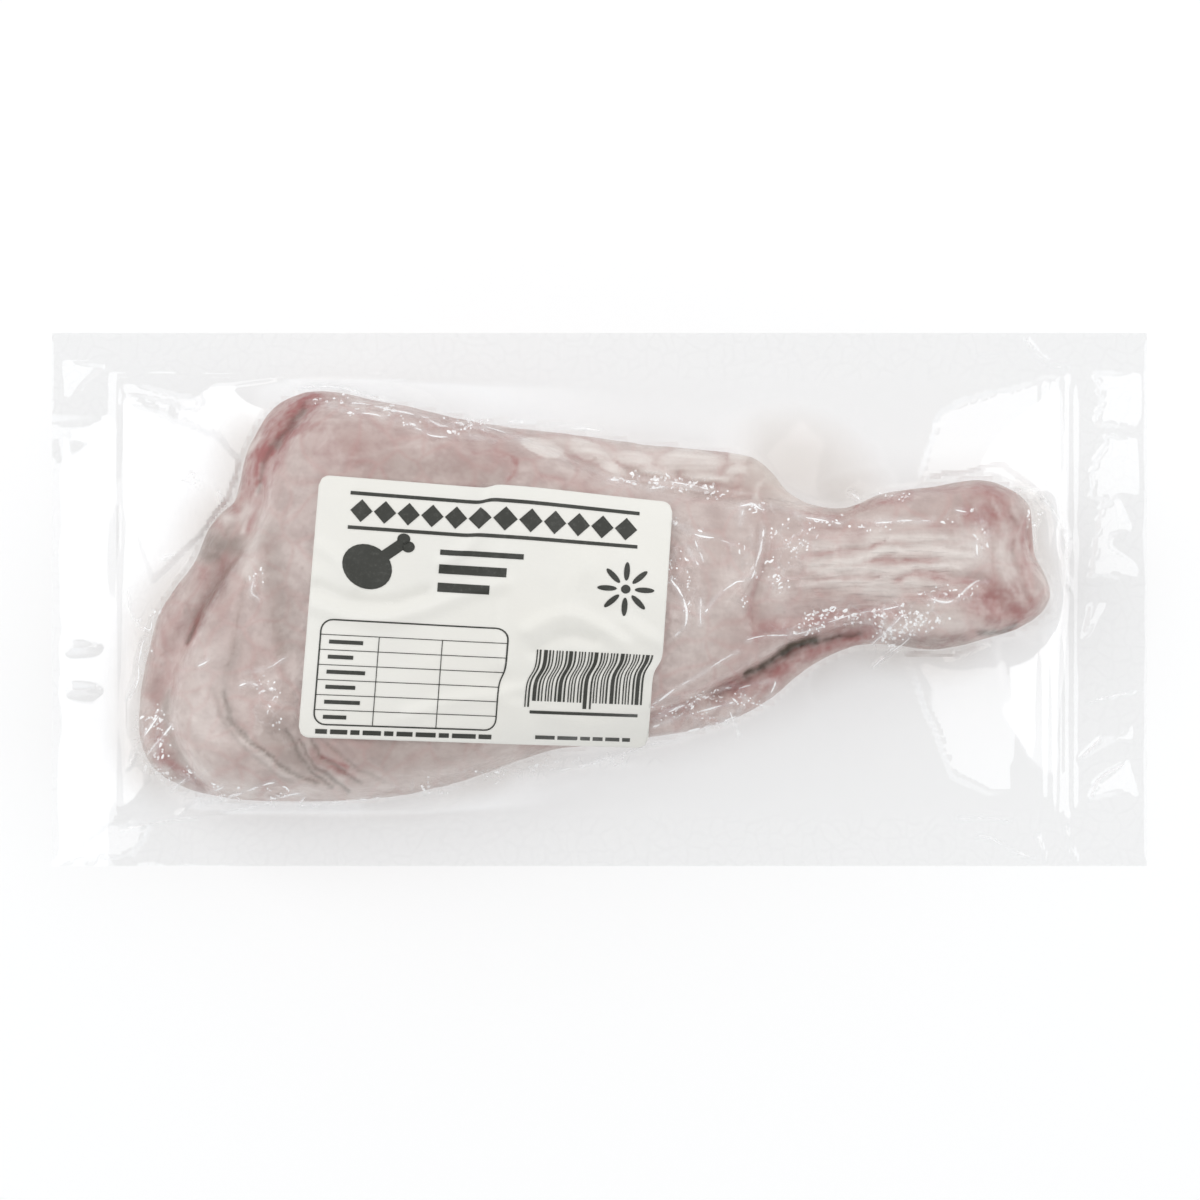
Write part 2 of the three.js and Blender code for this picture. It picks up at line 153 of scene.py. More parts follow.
# Colour marks on the meat: (strength, width, line from above).
RAW_MARKS = [
    (1.0, 9.0, [(-80.6, 56), (-85.4, 51), (-90.4, 44.4), (-93.6, 37.6), (-95.4, 31)]),
    (0.85, 9.0, [(-84, 55.6), (-89, 49.6), (-93.6, 43.4), (-96.4, 36)]),
    (0.3, 12.0, [(-80, 49), (-77, 43), (-68, 42)]),
    (0.6, 3.0, [(-95.6, 31), (-95.8, 25), (-97.4, 20)]),
    (0.7, 3.4, [(-107.4, 22), (-103.8, 25.4), (-100.4, 24.4)]),
    (0.45, 4.6, [(-103, 11), (-106.6, 3), (-110.6, -5)]),
    (0.9, 3.0, [(-110, -4), (-112.6, -8), (-114.8, -12)]),
    (0.35, 5.0, [(-107.6, -1), (-110, 6)]),
    (0.25, 5.0, [(-119.6, -20), (-122.4, -26), (-122.6, -34), (-120.6, -42)]),
    (0.55, 3.0, [(-122, -44.4), (-116, -48.6), (-111.6, -52.4)]),
    (0.5, 2.4, [(-123, -5), (-120, 0.6), (-117.6, 4)]),
    (0.3, 12.0, [(-118, -8), (-120, -22)]),
    (0.75, 1.3, [(-76.4, -43), (-73.4, -45.4), (-70, -47.2)]),
    (0.6, 1.3, [(-74.6, -46.6), (-71, -48.6), (-68, -49.4)]),
    (0.3, 3.4, [(-79, -43), (-73, -48)]),
    (0.7, 6.6, [(37, -24.4), (44, -22.4), (51.6, -18.6), (59, -14.6), (67, -11.6), (75, -9.4)]),
    (0.9, 2.4, [(51, -16.4), (58, -13), (64, -11.6)]),
    (0.35, 4.0, [(32, -29), (40, -26.4), (48, -22.6)]),
    (0.4, 2.4, [(14, -33.6), (24, -29.6), (34, -25.6)]),
    (0.6, 1.5, [(-29, 42), (-26, 40.6), (-23.6, 38.6), (-23, 35.4), (-25, 33)]),
    (0.4, 2.4, [(-36, 41), (-30, 41.8), (-26, 40.2)]),
    (0.35, 1.6, [(-14, 45.2), (-3, 44), (6, 41.6), (14, 40)]),
    (0.4, 1.5, [(-9, 39), (2, 38.6), (12, 37.2), (18, 36.2)]),
    (0.35, 1.4, [(34.8, 41), (35.2, 38), (33.6, 35.4)]),
    (0.3, 1.4, [(34, 38), (42, 38.2)]),
    (0.25, 1.6, [(10, 34), (22, 33), (34, 31.6), (44, 30)]),
    (0.2, 3.0, [(-16, 34.4), (-4, 33.6), (10, 31.8)]),
    (0.35, 1.6, [(45, 11), (43.6, 3), (41.4, -6)]),
    (0.55, 2.6, [(54, 25), (60, 24), (67, 23.2), (76, 26), (86, 29.4)]),
    (0.2, 3.4, [(84, 29.4), (94, 31), (104, 31.8), (111, 29.6)]),
    (0.6, 5.0, [(104, 30.4), (109, 29.6), (112.6, 27.4)]),
    (0.2, 5.0, [(101, 25), (108, 23)]),
    (0.5, 4.0, [(113, 26), (114.4, 21), (113.4, 14)]),
    (0.55, 4.6, [(116.6, 21), (118.4, 15), (118.6, 9)]),
    (0.6, 5.0, [(107.6, 26.4), (110.6, 23.6)]),
    (0.4, 4.4, [(90.4, 21), (98.6, 20)]),
    (0.62, 11.0, [(108, 1), (112.4, 0), (116.4, -3.4)]),
    (0.5, 5.0, [(116.6, 10), (118.8, 3), (120.6, -3)]),
    (0.5, 6.0, [(103, 24), (108, 22), (110, 17)]),
    (0.35, 5.0, [(84, -11), (94, -12), (104, -10)]),
    (0.6, 7.5, [(105, -3), (111, -4.4), (117, -4.6)]),
    (0.55, 5.0, [(-122.4, -36), (-122, -44)]),
    (0.2, 5.0, [(116, 6), (118, 2), (119.6, -2)]),
    (0.8, 1.5, [(56, 11), (65, 13), (72.6, 14.2), (79, 15.2)]),
    (0.85, 1.5, [(71, 10), (78, 11.2), (88, 10.2), (95, 11)]),
    (0.7, 1.4, [(60, 5), (69, 6.2), (78, 7)]),
    (0.85, 2.2, [(82, 5.6), (91, 7), (100, 5.4), (108, 5.6)]),
    (0.5, 3.4, [(84, 2), (95, 1.6), (104, 2.6)]),
    (0.5, 6.0, [(44, -9), (56, -6), (70, -3.6), (82, -3)]),
    (0.2, 7.0, [(54, -2), (64, -1), (76, 0)]),
    (0.25, 6.0, [(60, 21), (66, 18.4), (74, 20)]),
    (0.14, 26.0, [(-70, 46), (-50, 42), (-30, 38)]),
]
# Painted shade: darkness in the gap under the calf, in furrows and valleys, and along folded edges.
PAINTED_SHADE_MARKS = [
    (0.9, 1.6, [(40, -21.8), (43.5, -19.4), (48, -16.4), (53, -14)]),
    (1.0, 2.8, [(51.4, -14.8), (55.6, -12.8), (60, -11.4)]),
    (0.6, 1.4, [(60, -11.4), (66, -10), (73, -9)]),
    (0.5, 2.4, [(-82.6, 52.6), (-86.6, 48.4), (-90.4, 43)]),
    (0.4, 1.0, [(-84.6, 50.6), (-89.4, 45.6), (-92, 43)]),
    (0.35, 4.0, [(-103, 9), (-107.4, 1), (-111.6, -6)]),
    (0.6, 1.4, [(-112, -7), (-114.6, -12)]),
    (0.6, 1.6, [(106, -9.2), (111, -8.6), (116, -6.6)]),
    (0.3, 1.2, [(-104.3, -26), (-102.4, -33), (-98, -38.4), (-92.4, -42.8), (-87, -46.4), (-78, -50.6)]),
    (0.3, 1.1, [(-87.6, -36), (-84.4, -41.2), (-79.2, -47.4), (-74, -52.4)]),
    (0.3, 1.1, [(-83.4, -39.1), (-79.2, -44.7), (-73.7, -50.3), (-69.5, -53.1)]),
    (0.25, 1.1, [(-79.2, -39.8), (-75.1, -44.7), (-70.2, -48.9), (-66.7, -51)]),
    (0.22, 1.8, [(-119.6, -25.2), (-120.2, -33.6), (-117.4, -42.5), (-111.3, -53)]),
    (0.35, 1.2, [(-82, 54.4), (-88.6, 46.6), (-93.4, 38), (-95, 30)]),
    (0.3, 3.0, [(82, -12.6), (92, -12), (101, -10.4)]),
]
PALE_MARKS = [
    (0.5, 1.4, [(-95, 46.4), (-99, 39), (-100.6, 33)]),
    (0.6, 3.4, [(-104, 22.4), (-99, 23.4), (-96.4, 26)]),
    (0.6, 1.6, [(-94.6, 31.6), (-97, 25), (-99.4, 19)]),
    (0.4, 4.0, [(-91.4, 30), (-95.6, 18), (-98, 8)]),
    (0.3, 3.2, [(-105.4, -27), (-103.4, -33.4), (-99.6, -39), (-93.4, -44.4), (-86, -48.6), (-79, -51.4)]),
    (0.35, 18.0, [(-112, -18), (-110, -38)]),
    (0.2, 7.0, [(-86, 40), (-87, 33)]),
    (0.6, 7.0, [(-114, -45), (-108, -51), (-98, -53.4)]),
    (0.4, 7.0, [(-84, -53.6), (-66, -52.6), (-44, -48.6), (-24, -43.4)]),
    (0.3, 14.0, [(20, 26), (28, 14), (32, 0), (26, -12)]),
    (0.35, 9.0, [(38, 24), (40, 12), (36, 0)]),
    (0.3, 8.0, [(48, 18), (54, 16), (60, 14)]),
    (0.4, 8.0, [(49, 4), (52, -3)]),
    (0.5, 7.0, [(4, 33), (14, 33), (24, 31)]),
    (0.5, 5.0, [(80, -9), (90, -8)]),
    (0.3, 8.0, [(-92, 34), (-94, 22)]),
    (0.4, 7.0, [(-14, 44), (8, 40), (30, 38), (44, 37)]),
    (0.7, 1.5, [(43.6, 28), (44.6, 32.4), (47, 34.4), (49.6, 32), (50.4, 28)]),
    (0.75, 9.0, [(46, 38), (52, 31.6), (57, 27.6)]),
    (0.15, 1.4, [(-72, 39.6), (-59, 41), (-50, 41.8), (-42, 43.4), (-39, 40.4), (-31, 41.4)]),
    (0.4, 1.8, [(42.6, 20), (41.6, 11), (40, 3)]),
    (0.75, 5.0, [(76, 17.6), (88, 16.4), (98, 15.6), (106, 13.6)]),
    (0.8, 2.4, [(66, 10.6), (78, 13), (90, 13.4), (104, 12)]),
    (0.75, 2.6, [(58, 8.2), (70, 9), (82, 8.4), (100, 9)]),
    (0.7, 4.0, [(72, 5), (80, 4.2), (88, 3.8)]),
    (0.5, 2.0, [(56, 4.4), (66, 4.6), (74, 5.6)]),
    (0.4, 3.4, [(72, 21.6), (84, 22), (92, 22)]),
    (0.25, 1.3, [(109.6, 29.4), (111.6, 22), (110.8, 15), (112.6, 7), (116, 1)]),
    (0.25, 1.3, [(114.8, 28.4), (116.8, 21), (116.2, 15), (118.8, 6.4), (121.4, 0.4)]),
    (0.4, 9.0, [(92, -5), (102, -6)]),
    (0.7, 10.0, [(90, 15), (98, 12), (105, 14)]),
    (0.55, 6.0, [(111, 17), (112.4, 12), (114, 8)]),
]
# Grey meat, and painted shade in the furrows, on the thigh's plane edge and along the front and lower sides.
GREY_AND_SHADE_MARKS = [
    (0.6, 6.0, [(-81, 55), (-86, 49.6), (-90.6, 43.4)]),
    (1.0, 6.6, [(-108.6, 16), (-105.6, 15), (-101.6, 14.6)]),
    (1.0, 4.6, [(-110.6, 13), (-106, 11.6)]),
    (0.5, 4.0, [(-105, 8), (-110, -2), (-114, -9)]),
    (0.5, 10.0, [(-91, -36), (-86, -42), (-80, -46)]),
    (0.5, 7.0, [(-121, -28), (-122, -40), (-117, -49)]),
    (0.7, 1.6, [(-104.3, -26), (-102.4, -33), (-98, -38.4), (-92.4, -42.8), (-87, -46.4), (-78, -50.6)]),
    (0.6, 1.4, [(-106.8, -25.2), (-105, -32.2), (-101.5, -37.7), (-97.3, -42.6), (-91.8, -46.8), (-84.8, -50.3)]),
    (0.75, 1.4, [(-87.6, -36), (-84.4, -41.2), (-79.2, -47.4), (-74, -52.4)]),
    (0.75, 1.4, [(-83.4, -39.1), (-79.2, -44.7), (-73.7, -50.3), (-69.5, -53.1)]),
    (0.75, 1.4, [(-79.2, -39.8), (-75.1, -44.7), (-70.2, -48.9), (-66.7, -51)]),
    (0.7, 1.3, [(-75.1, -40.2), (-70.9, -44), (-66.7, -47.5), (-60, -51)]),
    (0.3, 4.0, [(84, -12.6), (92, -13), (101, -11.6)]),
    (0.4, 14.0, [(-60, -44), (-30, -44), (-4, -40)]),
    (0.55, 9.0, [(-91, 16), (-89, 2), (-87, -12)]),
    (0.4, 7.0, [(-56, 37), (-40, 36), (-28, 34)]),
    (0.45, 3.6, [(-101, -12), (-104, -24), (-103, -34)]),
]

# ---------------------------------------------------------------- the film's creases, mm

# Sharp creases of the film, which also carry painted glints: (height, line from above).
FILM_CREASES = [
    (0.5, [(-75, 54), (-71, 52.4), (-62.6, 51.4), (-50, 47.4), (-46.6, 45.6), (-34.6, 45), (-29, 44)]),
    (0.5, [(-83.4, 58.8), (-72.4, 59.2), (-65.4, 57.2), (-61, 55.6)]),
    (0.6, [(-47.2, 50), (-43, 48.2), (-36, 48.8), (-27.6, 46.8), (-22, 44.8), (-19.4, 44.4)]),
    (0.4, [(-69, 54.6), (-64.4, 54.4), (-58.4, 52.8), (-47.2, 50.6)]),
    (0.4, [(-25, 49.6), (-16.6, 49), (0, 47.2)]),
    (0.5, [(2.8, 33.4), (10, 32.8)]),
    (0.6, [(12.6, 33.8), (25, 31.8), (30.4, 30.6)]),
    (0.5, [(14, 30.8), (18.4, 31.4)]),
    (0.6, [(39, 26), (42.6, 26.4), (45.4, 25), (48, 26), (55.8, 23.2), (67, 21)]),
    (0.4, [(39.8, 25), (39, 20.8)]),
    (0.5, [(45.4, 19.4), (44, 11), (42, 6), (37.6, 4.6), (32.2, 0.4), (29.4, -3.6)]),
    (0.4, [(20.2, 21.6), (25.2, 18.6), (31.4, 17.2), (35, 16), (37, 15.2)]),
    (0.4, [(23.8, 15.2), (27.2, 9.4)]),
    (0.4, [(26.6, 16.6), (28.6, 10.4)]),
    (0.5, [(19.6, 5.4), (23, 0), (23.8, -7), (21, -10)]),
    (0.4, [(28, 0), (28, -7)]),
    (0.7, [(14.6, -29.2), (27, -21.4), (38.4, -14.4)]),
    (0.6, [(14.8, -35.4), (22, -32.8), (30, -30.6), (37.4, -28.6)]),
    (0.5, [(14.8, -38.6), (28, -36), (38, -32.8)]),
    (0.7, [(41, -11.4), (44.8, -10.4), (55.8, -9.4), (64.2, -6.2), (70, -4.4), (75.4, -3.4), (83, -2)]),
    (0.7, [(76, -18.8), (85, -11.8), (88, -7.2)]),
    (0.5, [(75.6, -12.6), (79.6, -9), (83.6, -5)]),
    (0.6, [(15.6, -33.6), (19.6, -30.8), (25.2, -29), (28, -27.2), (39, -24.4), (40.6, -28), (38.6, -31.4)]),
    (0.5, [(39, -24.4), (44.8, -23), (49, -23), (47, -27.4)]),
    (0.5, [(24.6, -29.4), (28, -35)]),
    (0.5, [(36.4, -31.4), (38.6, -37.8)]),
    (0.5, [(-11, -47.4), (0, -44.8), (14, -40.6), (25.2, -37.8), (28, -35.8)]),
    (0.6, [(-131.4, 2.6), (-130.2, -4.4), (-125.2, -8.4), (-124.6, -5)]),
    (0.6, [(-126.6, -11.2), (-128, -17), (-128.6, -22.4), (-131.4, -28)]),
    (0.6, [(-131.4, -47), (-128, -40.6), (-125.2, -36.4), (-121.6, -30.8)]),
    (0.6, [(-125.8, -43.4), (-121, -37.8), (-119, -35)]),
    (0.6, [(-125.2, -46), (-121, -47), (-115.4, -48.8), (-111.4, -53)]),
    (0.6, [(-119, -53), (-114.6, -49.4)]),
    (0.6, [(-117, -60), (-111, -55), (-104.6, -52)]),
    (0.6, [(-111.4, -57.2), (-101.6, -54.4), (-91.8, -51), (-90, -50.8)]),
    (0.5, [(-92, -55.8), (-83.4, -54), (-82, -54.8), (-83.6, -56.8)]),
    (0.4, [(-83.4, -57.6), (-61, -55)]),
    (0.5, [(-100, -23.8), (-97.4, -23.2), (-94.6, -23.8)]),
    (0.5, [(-98.2, -20.2), (-91.8, -19), (-87, -16.4)]),
    (0.5, [(-111.4, -18.4), (-108.6, -16.8)]),
    (0.5, [(-96, 5.2), (-96.4, 1.6), (-94.4, 0)]),
    (0.4, [(104.6, 15.6), (104.8, 12.4)]),
    (0.5, [(99, 24.8), (101.8, 24.2)]),
    (0.5, [(106, 22), (108.2, 18)]),
    (0.6, [(92, 0), (97.6, -0.8), (104.6, 4.8), (107.6, 4.8)]),
    (0.4, [(76.8, 21.4), (83.6, 21.8), (92, 21.6)]),
    (0.5, [(115.8, 30.4), (121, 30), (126.6, 24.4), (130, 16), (129.6, 8), (131.4, 2)]),
    (0.4, [(70, 29.6), (72.4, 28)]),
    (0.4, [(-107, 32), (-104.6, 26.4)]),
    (0.4, [(99.6, -61.1), (107, -60.8), (114.4, -61.8)]),
    (0.4, [(105, -65.6), (110, -67), (114.9, -70), (121, -72.4)]),
    (0.4, [(121.8, -65.6), (124.4, -73)]),
    (0.4, [(129.8, -63.4), (132.6, -73)]),
    (0.4, [(118.8, 72.6), (121, 69.6), (125.5, 65.8), (130, 64.4)]),
    (0.4, [(106, 67.8), (111, 68.2)]),
    (0.4, [(136.4, -28.6), (143, -26.6), (150.8, -25.6)]),
    (0.4, [(134, -44.6), (139.6, -38.6)]),
    (0.4, [(137, -55.4), (138.6, -50.8), (146.6, -45.6)]),
    (0.4, [(-133, -64.4), (-122, -62), (-105, -59.5), (-92, -56.6)]),
    (0.4, [(-121.6, 11.4), (-118, 12.6)]),
]

# Where the film is finely crumpled and strewn with painted glints: (strength, x, y, half length, half width, turn in
# degrees).
CRUMPLED_PLACES = [
    (0.7, -45, 48.8, 9, 2.2, -14), (1.5, -36, 47.8, 6, 1.8, -12), (0.5, -62, 52, 9, 1.6, -14),
    (1.6, 13, 33.4, 7, 1.8, -8), (1.6, 24, 32, 7, 1.8, -6), (0.5, 34, 30, 6, 1.6, -8),
    (0.5, 21, 20, 8, 3, -24), (0.5, 22, 10, 3.4, 7, -68), (0.5, 25, 0, 3, 7, 64),
    (0.8, 46, 25.4, 9, 1.6, -6), (0.7, 62, 22.4, 8, 1.2, -14), (0.7, 53, 17.6, 7, 4.6, 62),
    (0.6, 51, 7, 5, 5, 40), (0.5, 41, 8, 2, 10, 78), (0.5, 76, 20.4, 8, 1.6, 6),
    (1.0, 58, -8, 9, 1.8, 14), (1.8, 68, -4.6, 9, 2.4, 12), (1.8, 82, -6, 7, 4.4, 40),
    (1.8, 90, -5.4, 4.4, 3.4, 30), (0.8, 78, -12, 5, 2.4, 38), (0.8, 97, 1, 8, 2.2, 24),
    (0.9, 20, -31.6, 8, 2.4, 22), (1.0, 30, -27.8, 5, 2.2, 20), (0.9, 40, -27, 5, 3.4, -50),
    (0.8, 30, -33.6, 9, 1.6, 18), (0.6, 0, -45, 14, 1.4, 12), (1.0, -27, -48.4, 12, 1.6, 10),
    (0.9, -48, -52, 8, 1.8, 6), (0.6, -14, -44.6, 8, 1.6, 14), (0.9, -124, -38, 5, 8, 58),
    (0.8, -117, -49, 8, 3, -30), (0.7, -108, -54.6, 9, 2, -16), (0.5, -90, -54, 9, 1.8, 6),
    (0.6, -93, -24.4, 6, 1.4, 10), (0.6, -91, -31, 5, 4, 70), (0.5, -95, 4, 2, 4, 80),
    (0.5, -127, -10, 3, 9, 76), (0.4, -113, 34, 3, 5, 64), (0.5, 100, 23.6, 6, 1.8, -14),
    (0.5, 106, 17, 2, 6, -74), (0.5, 121, 24, 2, 7, -60), (0.5, 83, 28.4, 6, 1.2, 10),
    (0.5, -72, 55, 8, 1.4, -8),
]

# Where the slack film is one flat slope that faces one end of the pouch: (-1 or 1, outline from above).
FILM_SLOPES = [
    (1, [(88.8, 33.2), (92, 44.6), (94.4, 52.2), (100, 55.4), (117.8, 60), (128.6, 63.6), (129, 12), (122, 30),
         (112, 37)]),
    (1, [(84.6, -15), (89, -27.6), (93.4, -38.8), (97.6, -50), (108.4, -54.6), (115, -53.6), (115, -38),
         (114, -28), (111, -11), (98, -15)]),
    (-1, [(-133.6, 56), (-106.2, 46.2), (-99.6, 38.6), (-103, 28), (-112, 16.4), (-125, 4), (-128, 14),
          (-133.6, 30)]),
    (-1, [(-133.4, 61.4), (-110.8, 55.6), (-112, 52.4), (-133.4, 57.6)]),
    (-1, [(-149.4, 67), (-138, 65), (-146.2, 55.6), (-149, 56.2)]),
    (-1, [(-152, -74), (-137, -62), (-124, -62), (-130, -72)]),
    (1, [(137.8, 63.4), (151.4, 63.5), (151.4, 50), (148, 46.6), (141.6, 48), (138.8, 47.2), (137.4, 50),
         (139, 55.6)]),
    (1, [(140.3, 46.1), (150, 45.3), (150.5, 28), (144.4, 28.2), (142.8, 26.8), (136.3, 28.2), (137.8, 39.4),
         (140.3, 43)]),
    (1, [(139.2, 26.4), (144.4, 28), (149, 18.8), (142.4, 17.6), (141.9, 14.9), (150.2, 9.6), (150, 6),
         (136.2, 6), (138, 14), (138.6, 21.6)]),
    (1, [(136.2, -1), (141.8, -0.4), (138, -7.4), (134.6, -11.8)]),
    (1, [(136.2, -28.4), (143, -26.4), (150.8, -25.4), (150.6, -26.8), (142, -28)]),
    (1, [(133.8, -44.4), (139.6, -38), (145.4, -37.4), (149, -32.4), (149, -39.2), (142.4, -40.6)]),
    (1, [(136.4, -55.8), (138, -50.8), (146.6, -45), (149.4, -53.4), (150.8, -55.8), (144, -54.6)]),
]
FILM_SLOPE, SLOPE_EDGE = 0.165, 0.9

# Where the pouch's two films stick together beside the meat, so that they mirror little, and where painted contact
# shade darkens the film most:
# (x, y, half length, half width, turn in degrees).
STUCK_AND_SHADED_PLACES = [(56, 38, 26, 17, -20), (66, 31, 18, 10, 0)]

# Where the warm tint beside the meat is strongest, painted contact shade mixed with meat juices run under the film,
# in the same form.
JUICE_AND_SHADE_PLACES = [
    (-127, -24, 18, 60, 0), (-108, 30, 16, 24, -30), (84, -20, 26, 12, 10), (-34, -52, 34, 9, 12),
    (122, 14, 10, 26, 0),
]

# ---------------------------------------------------------------- the label, mm

LABEL_LENGTH, LABEL_WIDTH = 97.0, 73.0
LABEL_THICKNESS = 0.25
LABEL_GAP = 0.3
LABEL_CORNER_RADIUS = 3.0
LABEL_LIFT = 0.3
BEND_SHIFT, LAP_SHIFT = 2.4, 1.3

# Soft creases of the paper: (height, width, line in mm along and down the label).
PAPER_CREASES = [
    (0.5, 5, [(1, 36), (10, 38.4), (20, 39), (30, 36.4), (42, 31), (52, 27)]),
    (-0.45, 4, [(2, 31), (12, 34.4), (22, 34.6), (32, 31)]),
    (0.4, 4, [(47.6, 2), (46.4, 10), (42, 18), (36, 22)]),
    (0.4, 5, [(54, 12), (51, 24), (50.6, 38), (53, 50)]),
    (0.5, 5, [(60, 40), (66, 36), (72, 35), (79, 38), (86, 42)]),
    (-0.4, 4, [(62, 46), (70, 41), (78, 42)]),
    (0.45, 6, [(74, 20), (70, 28), (70, 38)]),
    (0.4, 5, [(86, 36), (92, 40), (96.6, 42)]),
    (0.4, 4, [(56, 58), (66, 56), (80, 54), (95, 50)]),
    (0.4, 5, [(30, 66), (40, 62), (52, 60), (60, 62)]),
    (0.35, 4, [(2, 20), (8, 24), (12, 30)]),
    (0.3, 4, [(70, 64), (82, 67), (94, 66)]),
]
LABEL_BACK_LEFT, LABEL_BACK_RIGHT = (-77.6, 34.6), (19.2, 26.8)
LABEL_FRONT_RIGHT, LABEL_FRONT_LEFT = (14.6, -41.4), (-83.6, -38.2)

# ---------------------------------------------------------------- colours

SKIN_MAUVE = (0.482, 0.374, 0.346)
SKIN_PALE = (0.64, 0.555, 0.52)
SKIN_LILAC = (0.38, 0.29, 0.27)
SKIN_PINK = (0.48, 0.29, 0.27)
RAW_MEAT = (0.31, 0.095, 0.09)
# the colour of the painted shade in the meat's gap and furrows
PAINTED_GAP_SHADE = (0.05, 0.043, 0.024)
FAT_CREAM = (0.77, 0.715, 0.675)
# grey meat, also used for painted shade
MEAT_GREY_AND_SHADE = (0.24, 0.19, 0.165)
FILM_CLEAR = (0.90, 0.92, 0.94)
FILM_JUICE_AND_SHADE = (0.48, 0.41, 0.355)
PAINTED_GLINT_WHITE = (0.93, 0.93, 0.93)
PAPER_WHITE = (0.80, 0.785, 0.735)
INK_BLACK = (0.03, 0.031, 0.025)
FLOOR_WHITE = (0.56, 0.56, 0.56)
FLOOR_GLOW = 0.43
FLOOR_GLOW_TINT = (0.985, 0.995, 1.0)


# ---------------------------------------------------------------- curves and distances

def size_at(rows, x):
    """A size that changes along X, read from its rows."""
    places, sizes = np.array(rows, float).T
    i = np.clip(np.searchsorted(places, x, side="right"), 1, len(places) - 1)
    t = np.clip((x - places[i - 1]) / (places[i] - places[i - 1]), 0, 1)
    return sizes[i - 1] + (sizes[i] - sizes[i - 1]) * t * t * (3 - 2 * t)


def smooth_max(a, b, width):
    """The higher of two surfaces, with the corner between them rounded over width."""
    overlap = np.maximum(width - np.abs(a - b), 0) / width
    return np.maximum(a, b) + overlap * overlap * width / 4


def curve_through(points, closed=False, step=1.2):
    """Points about step apart on a smooth curve through the given ones."""
    knots = np.array(points, float)
    if closed:
        knots = np.vstack([knots[-1], knots, knots[0], knots[1]])
    else:
        knots = np.vstack([2 * knots[0] - knots[1], knots, 2 * knots[-1] - knots[-2]])
    curve = []
    for before, start, end, after in zip(knots, knots[1:], knots[2:], knots[3:]):
        d0, d1, d2 = (math.sqrt(np.hypot(*(b - a))) for a, b in
                      ((before, start), (start, end), (end, after)))
        leave = ((start - before) / d0 - (end - before) / (d0 + d1) + (end - start) / d1) * d1
        arrive = ((end - start) / d1 - (after - start) / (d1 + d2) + (after - end) / d2) * d1
        count = max(1, math.ceil(np.hypot(*(end - start)) / step))
        t = (np.arange(count) / count)[:, None]
        curve.append((2 * t**3 - 3 * t**2 + 1) * start + (t**3 - 2 * t**2 + t) * leave
                     + (3 * t**2 - 2 * t**3) * end + (t**3 - t**2) * arrive)
    return np.vstack(curve + [knots[-2][None] if not closed else curve[0][:1]])


def distance_to(line, x, y):
    nearest = np.full(x.shape, np.inf)
    for (ax, ay), (bx, by) in zip(line[:-1], line[1:]):
        dx, dy = bx - ax, by - ay
        along = np.clip(((x - ax) * dx + (y - ay) * dy) / (dx * dx + dy * dy + 1e-9), 0, 1)
        np.minimum(nearest, np.hypot(x - ax - along * dx, y - ay - along * dy), out=nearest)
    return nearest


def distance_inside(outline, x, y):
    """Distance to a closed outline, positive inside it."""
    inside = np.zeros(x.shape, bool)
    for (ax, ay), (bx, by) in zip(outline[:-1], outline[1:]):
        if ay != by:
            inside ^= ((ay > y) != (by > y)) & (x < ax + (bx - ax) * (y - ay) / (by - ay))
    return np.where(inside, 1, -1) * distance_to(outline, x, y)


def near(line, width, x, y):
    """1 on a line, fading to nothing about one width away from it."""
    line = curve_through(line)
    reach = 1.4 * width
    low, high = line.min(axis=0) - reach, line.max(axis=0) + reach
    close = (x > low[0]) & (x < high[0]) & (y > low[1]) & (y < high[1])
    result = np.zeros(x.shape)
    result[close] = np.exp(-(distance_to(line, x[close], y[close]) / (width / 2)) ** 2)
    return result


def dome(x, y, centre_x, centre_y, half_length, half_width, turn):
    """1 in the middle of an ellipse, rounding off to 0 at its edge."""
    c, d = math.cos(math.radians(turn)), math.sin(math.radians(turn))
    u = ((x - centre_x) * c + (y - centre_y) * d) / half_length
    v = ((y - centre_y) * c - (x - centre_x) * d) / half_width
    return np.clip(1 - u * u - v * v, 0, 1) ** 0.6


def random_at(cells):
    """A fixed random number from -1 to 1 for each whole-numbered cell."""
    mixed = cells @ np.array([73856093, 19349663, 83492791])[: cells.shape[-1]]
    mixed = ((mixed ^ (mixed >> 13)) * 1274126177) & 0xFFFFFFFF
    return ((mixed ^ (mixed >> 16)) & 0xFFFF) / 32767.5 - 1


def lumps(places, size, seed):
    """Smooth noise from -1 to 1 with lumps of about the given size, at an array of places."""
    at = places / size + seed * 17.31
    cell = np.floor(at).astype(np.int64)
    share = at - cell
    share = share * share * (3 - 2 * share)
    total = np.zeros(places.shape[:-1])
    for corner in itertools.product((0, 1), repeat=places.shape[-1]):
        offset = np.array(corner)
        total += random_at(cell + offset) * np.prod(np.where(offset, share, 1 - share), axis=-1)
    return total


def wandered(x, y, amount):
    """Places moved about by noise, so that lines drawn there look grown, not drawn."""
    places = np.stack([x, y], axis=-1)
    moved = [amount * (lumps(places, 8, seed) + 0.5 * lumps(places, 3, seed + 1) + 0.3 * lumps(places, 1.3, seed + 2))
             for seed in (61, 71)]
    return x + moved[0], y + moved[1]


def marked(marks, x, y):
    """How strongly a set of marks colours each place."""
    x, y = wandered(x, y, 0.9)
    total = np.zeros(x.shape)
    for strength, width, line in marks:
        total = np.maximum(total, strength * near(line, width, x, y))
    return total


# ---------------------------------------------------------------- the drumstick's form

drumstick_outline = curve_through(DRUMSTICK_OUTLINE, closed=True)
upper_outline = curve_through(UPPER_OUTLINE, closed=True)


def rise(distance, rounding):
    """How far a layer has risen at a distance inside its outline, from 0 at the outline to 1."""
    left = 1 - np.clip(distance / rounding, 0, 1)
    return (1 - left**FULLNESS) ** (1 / FULLNESS)


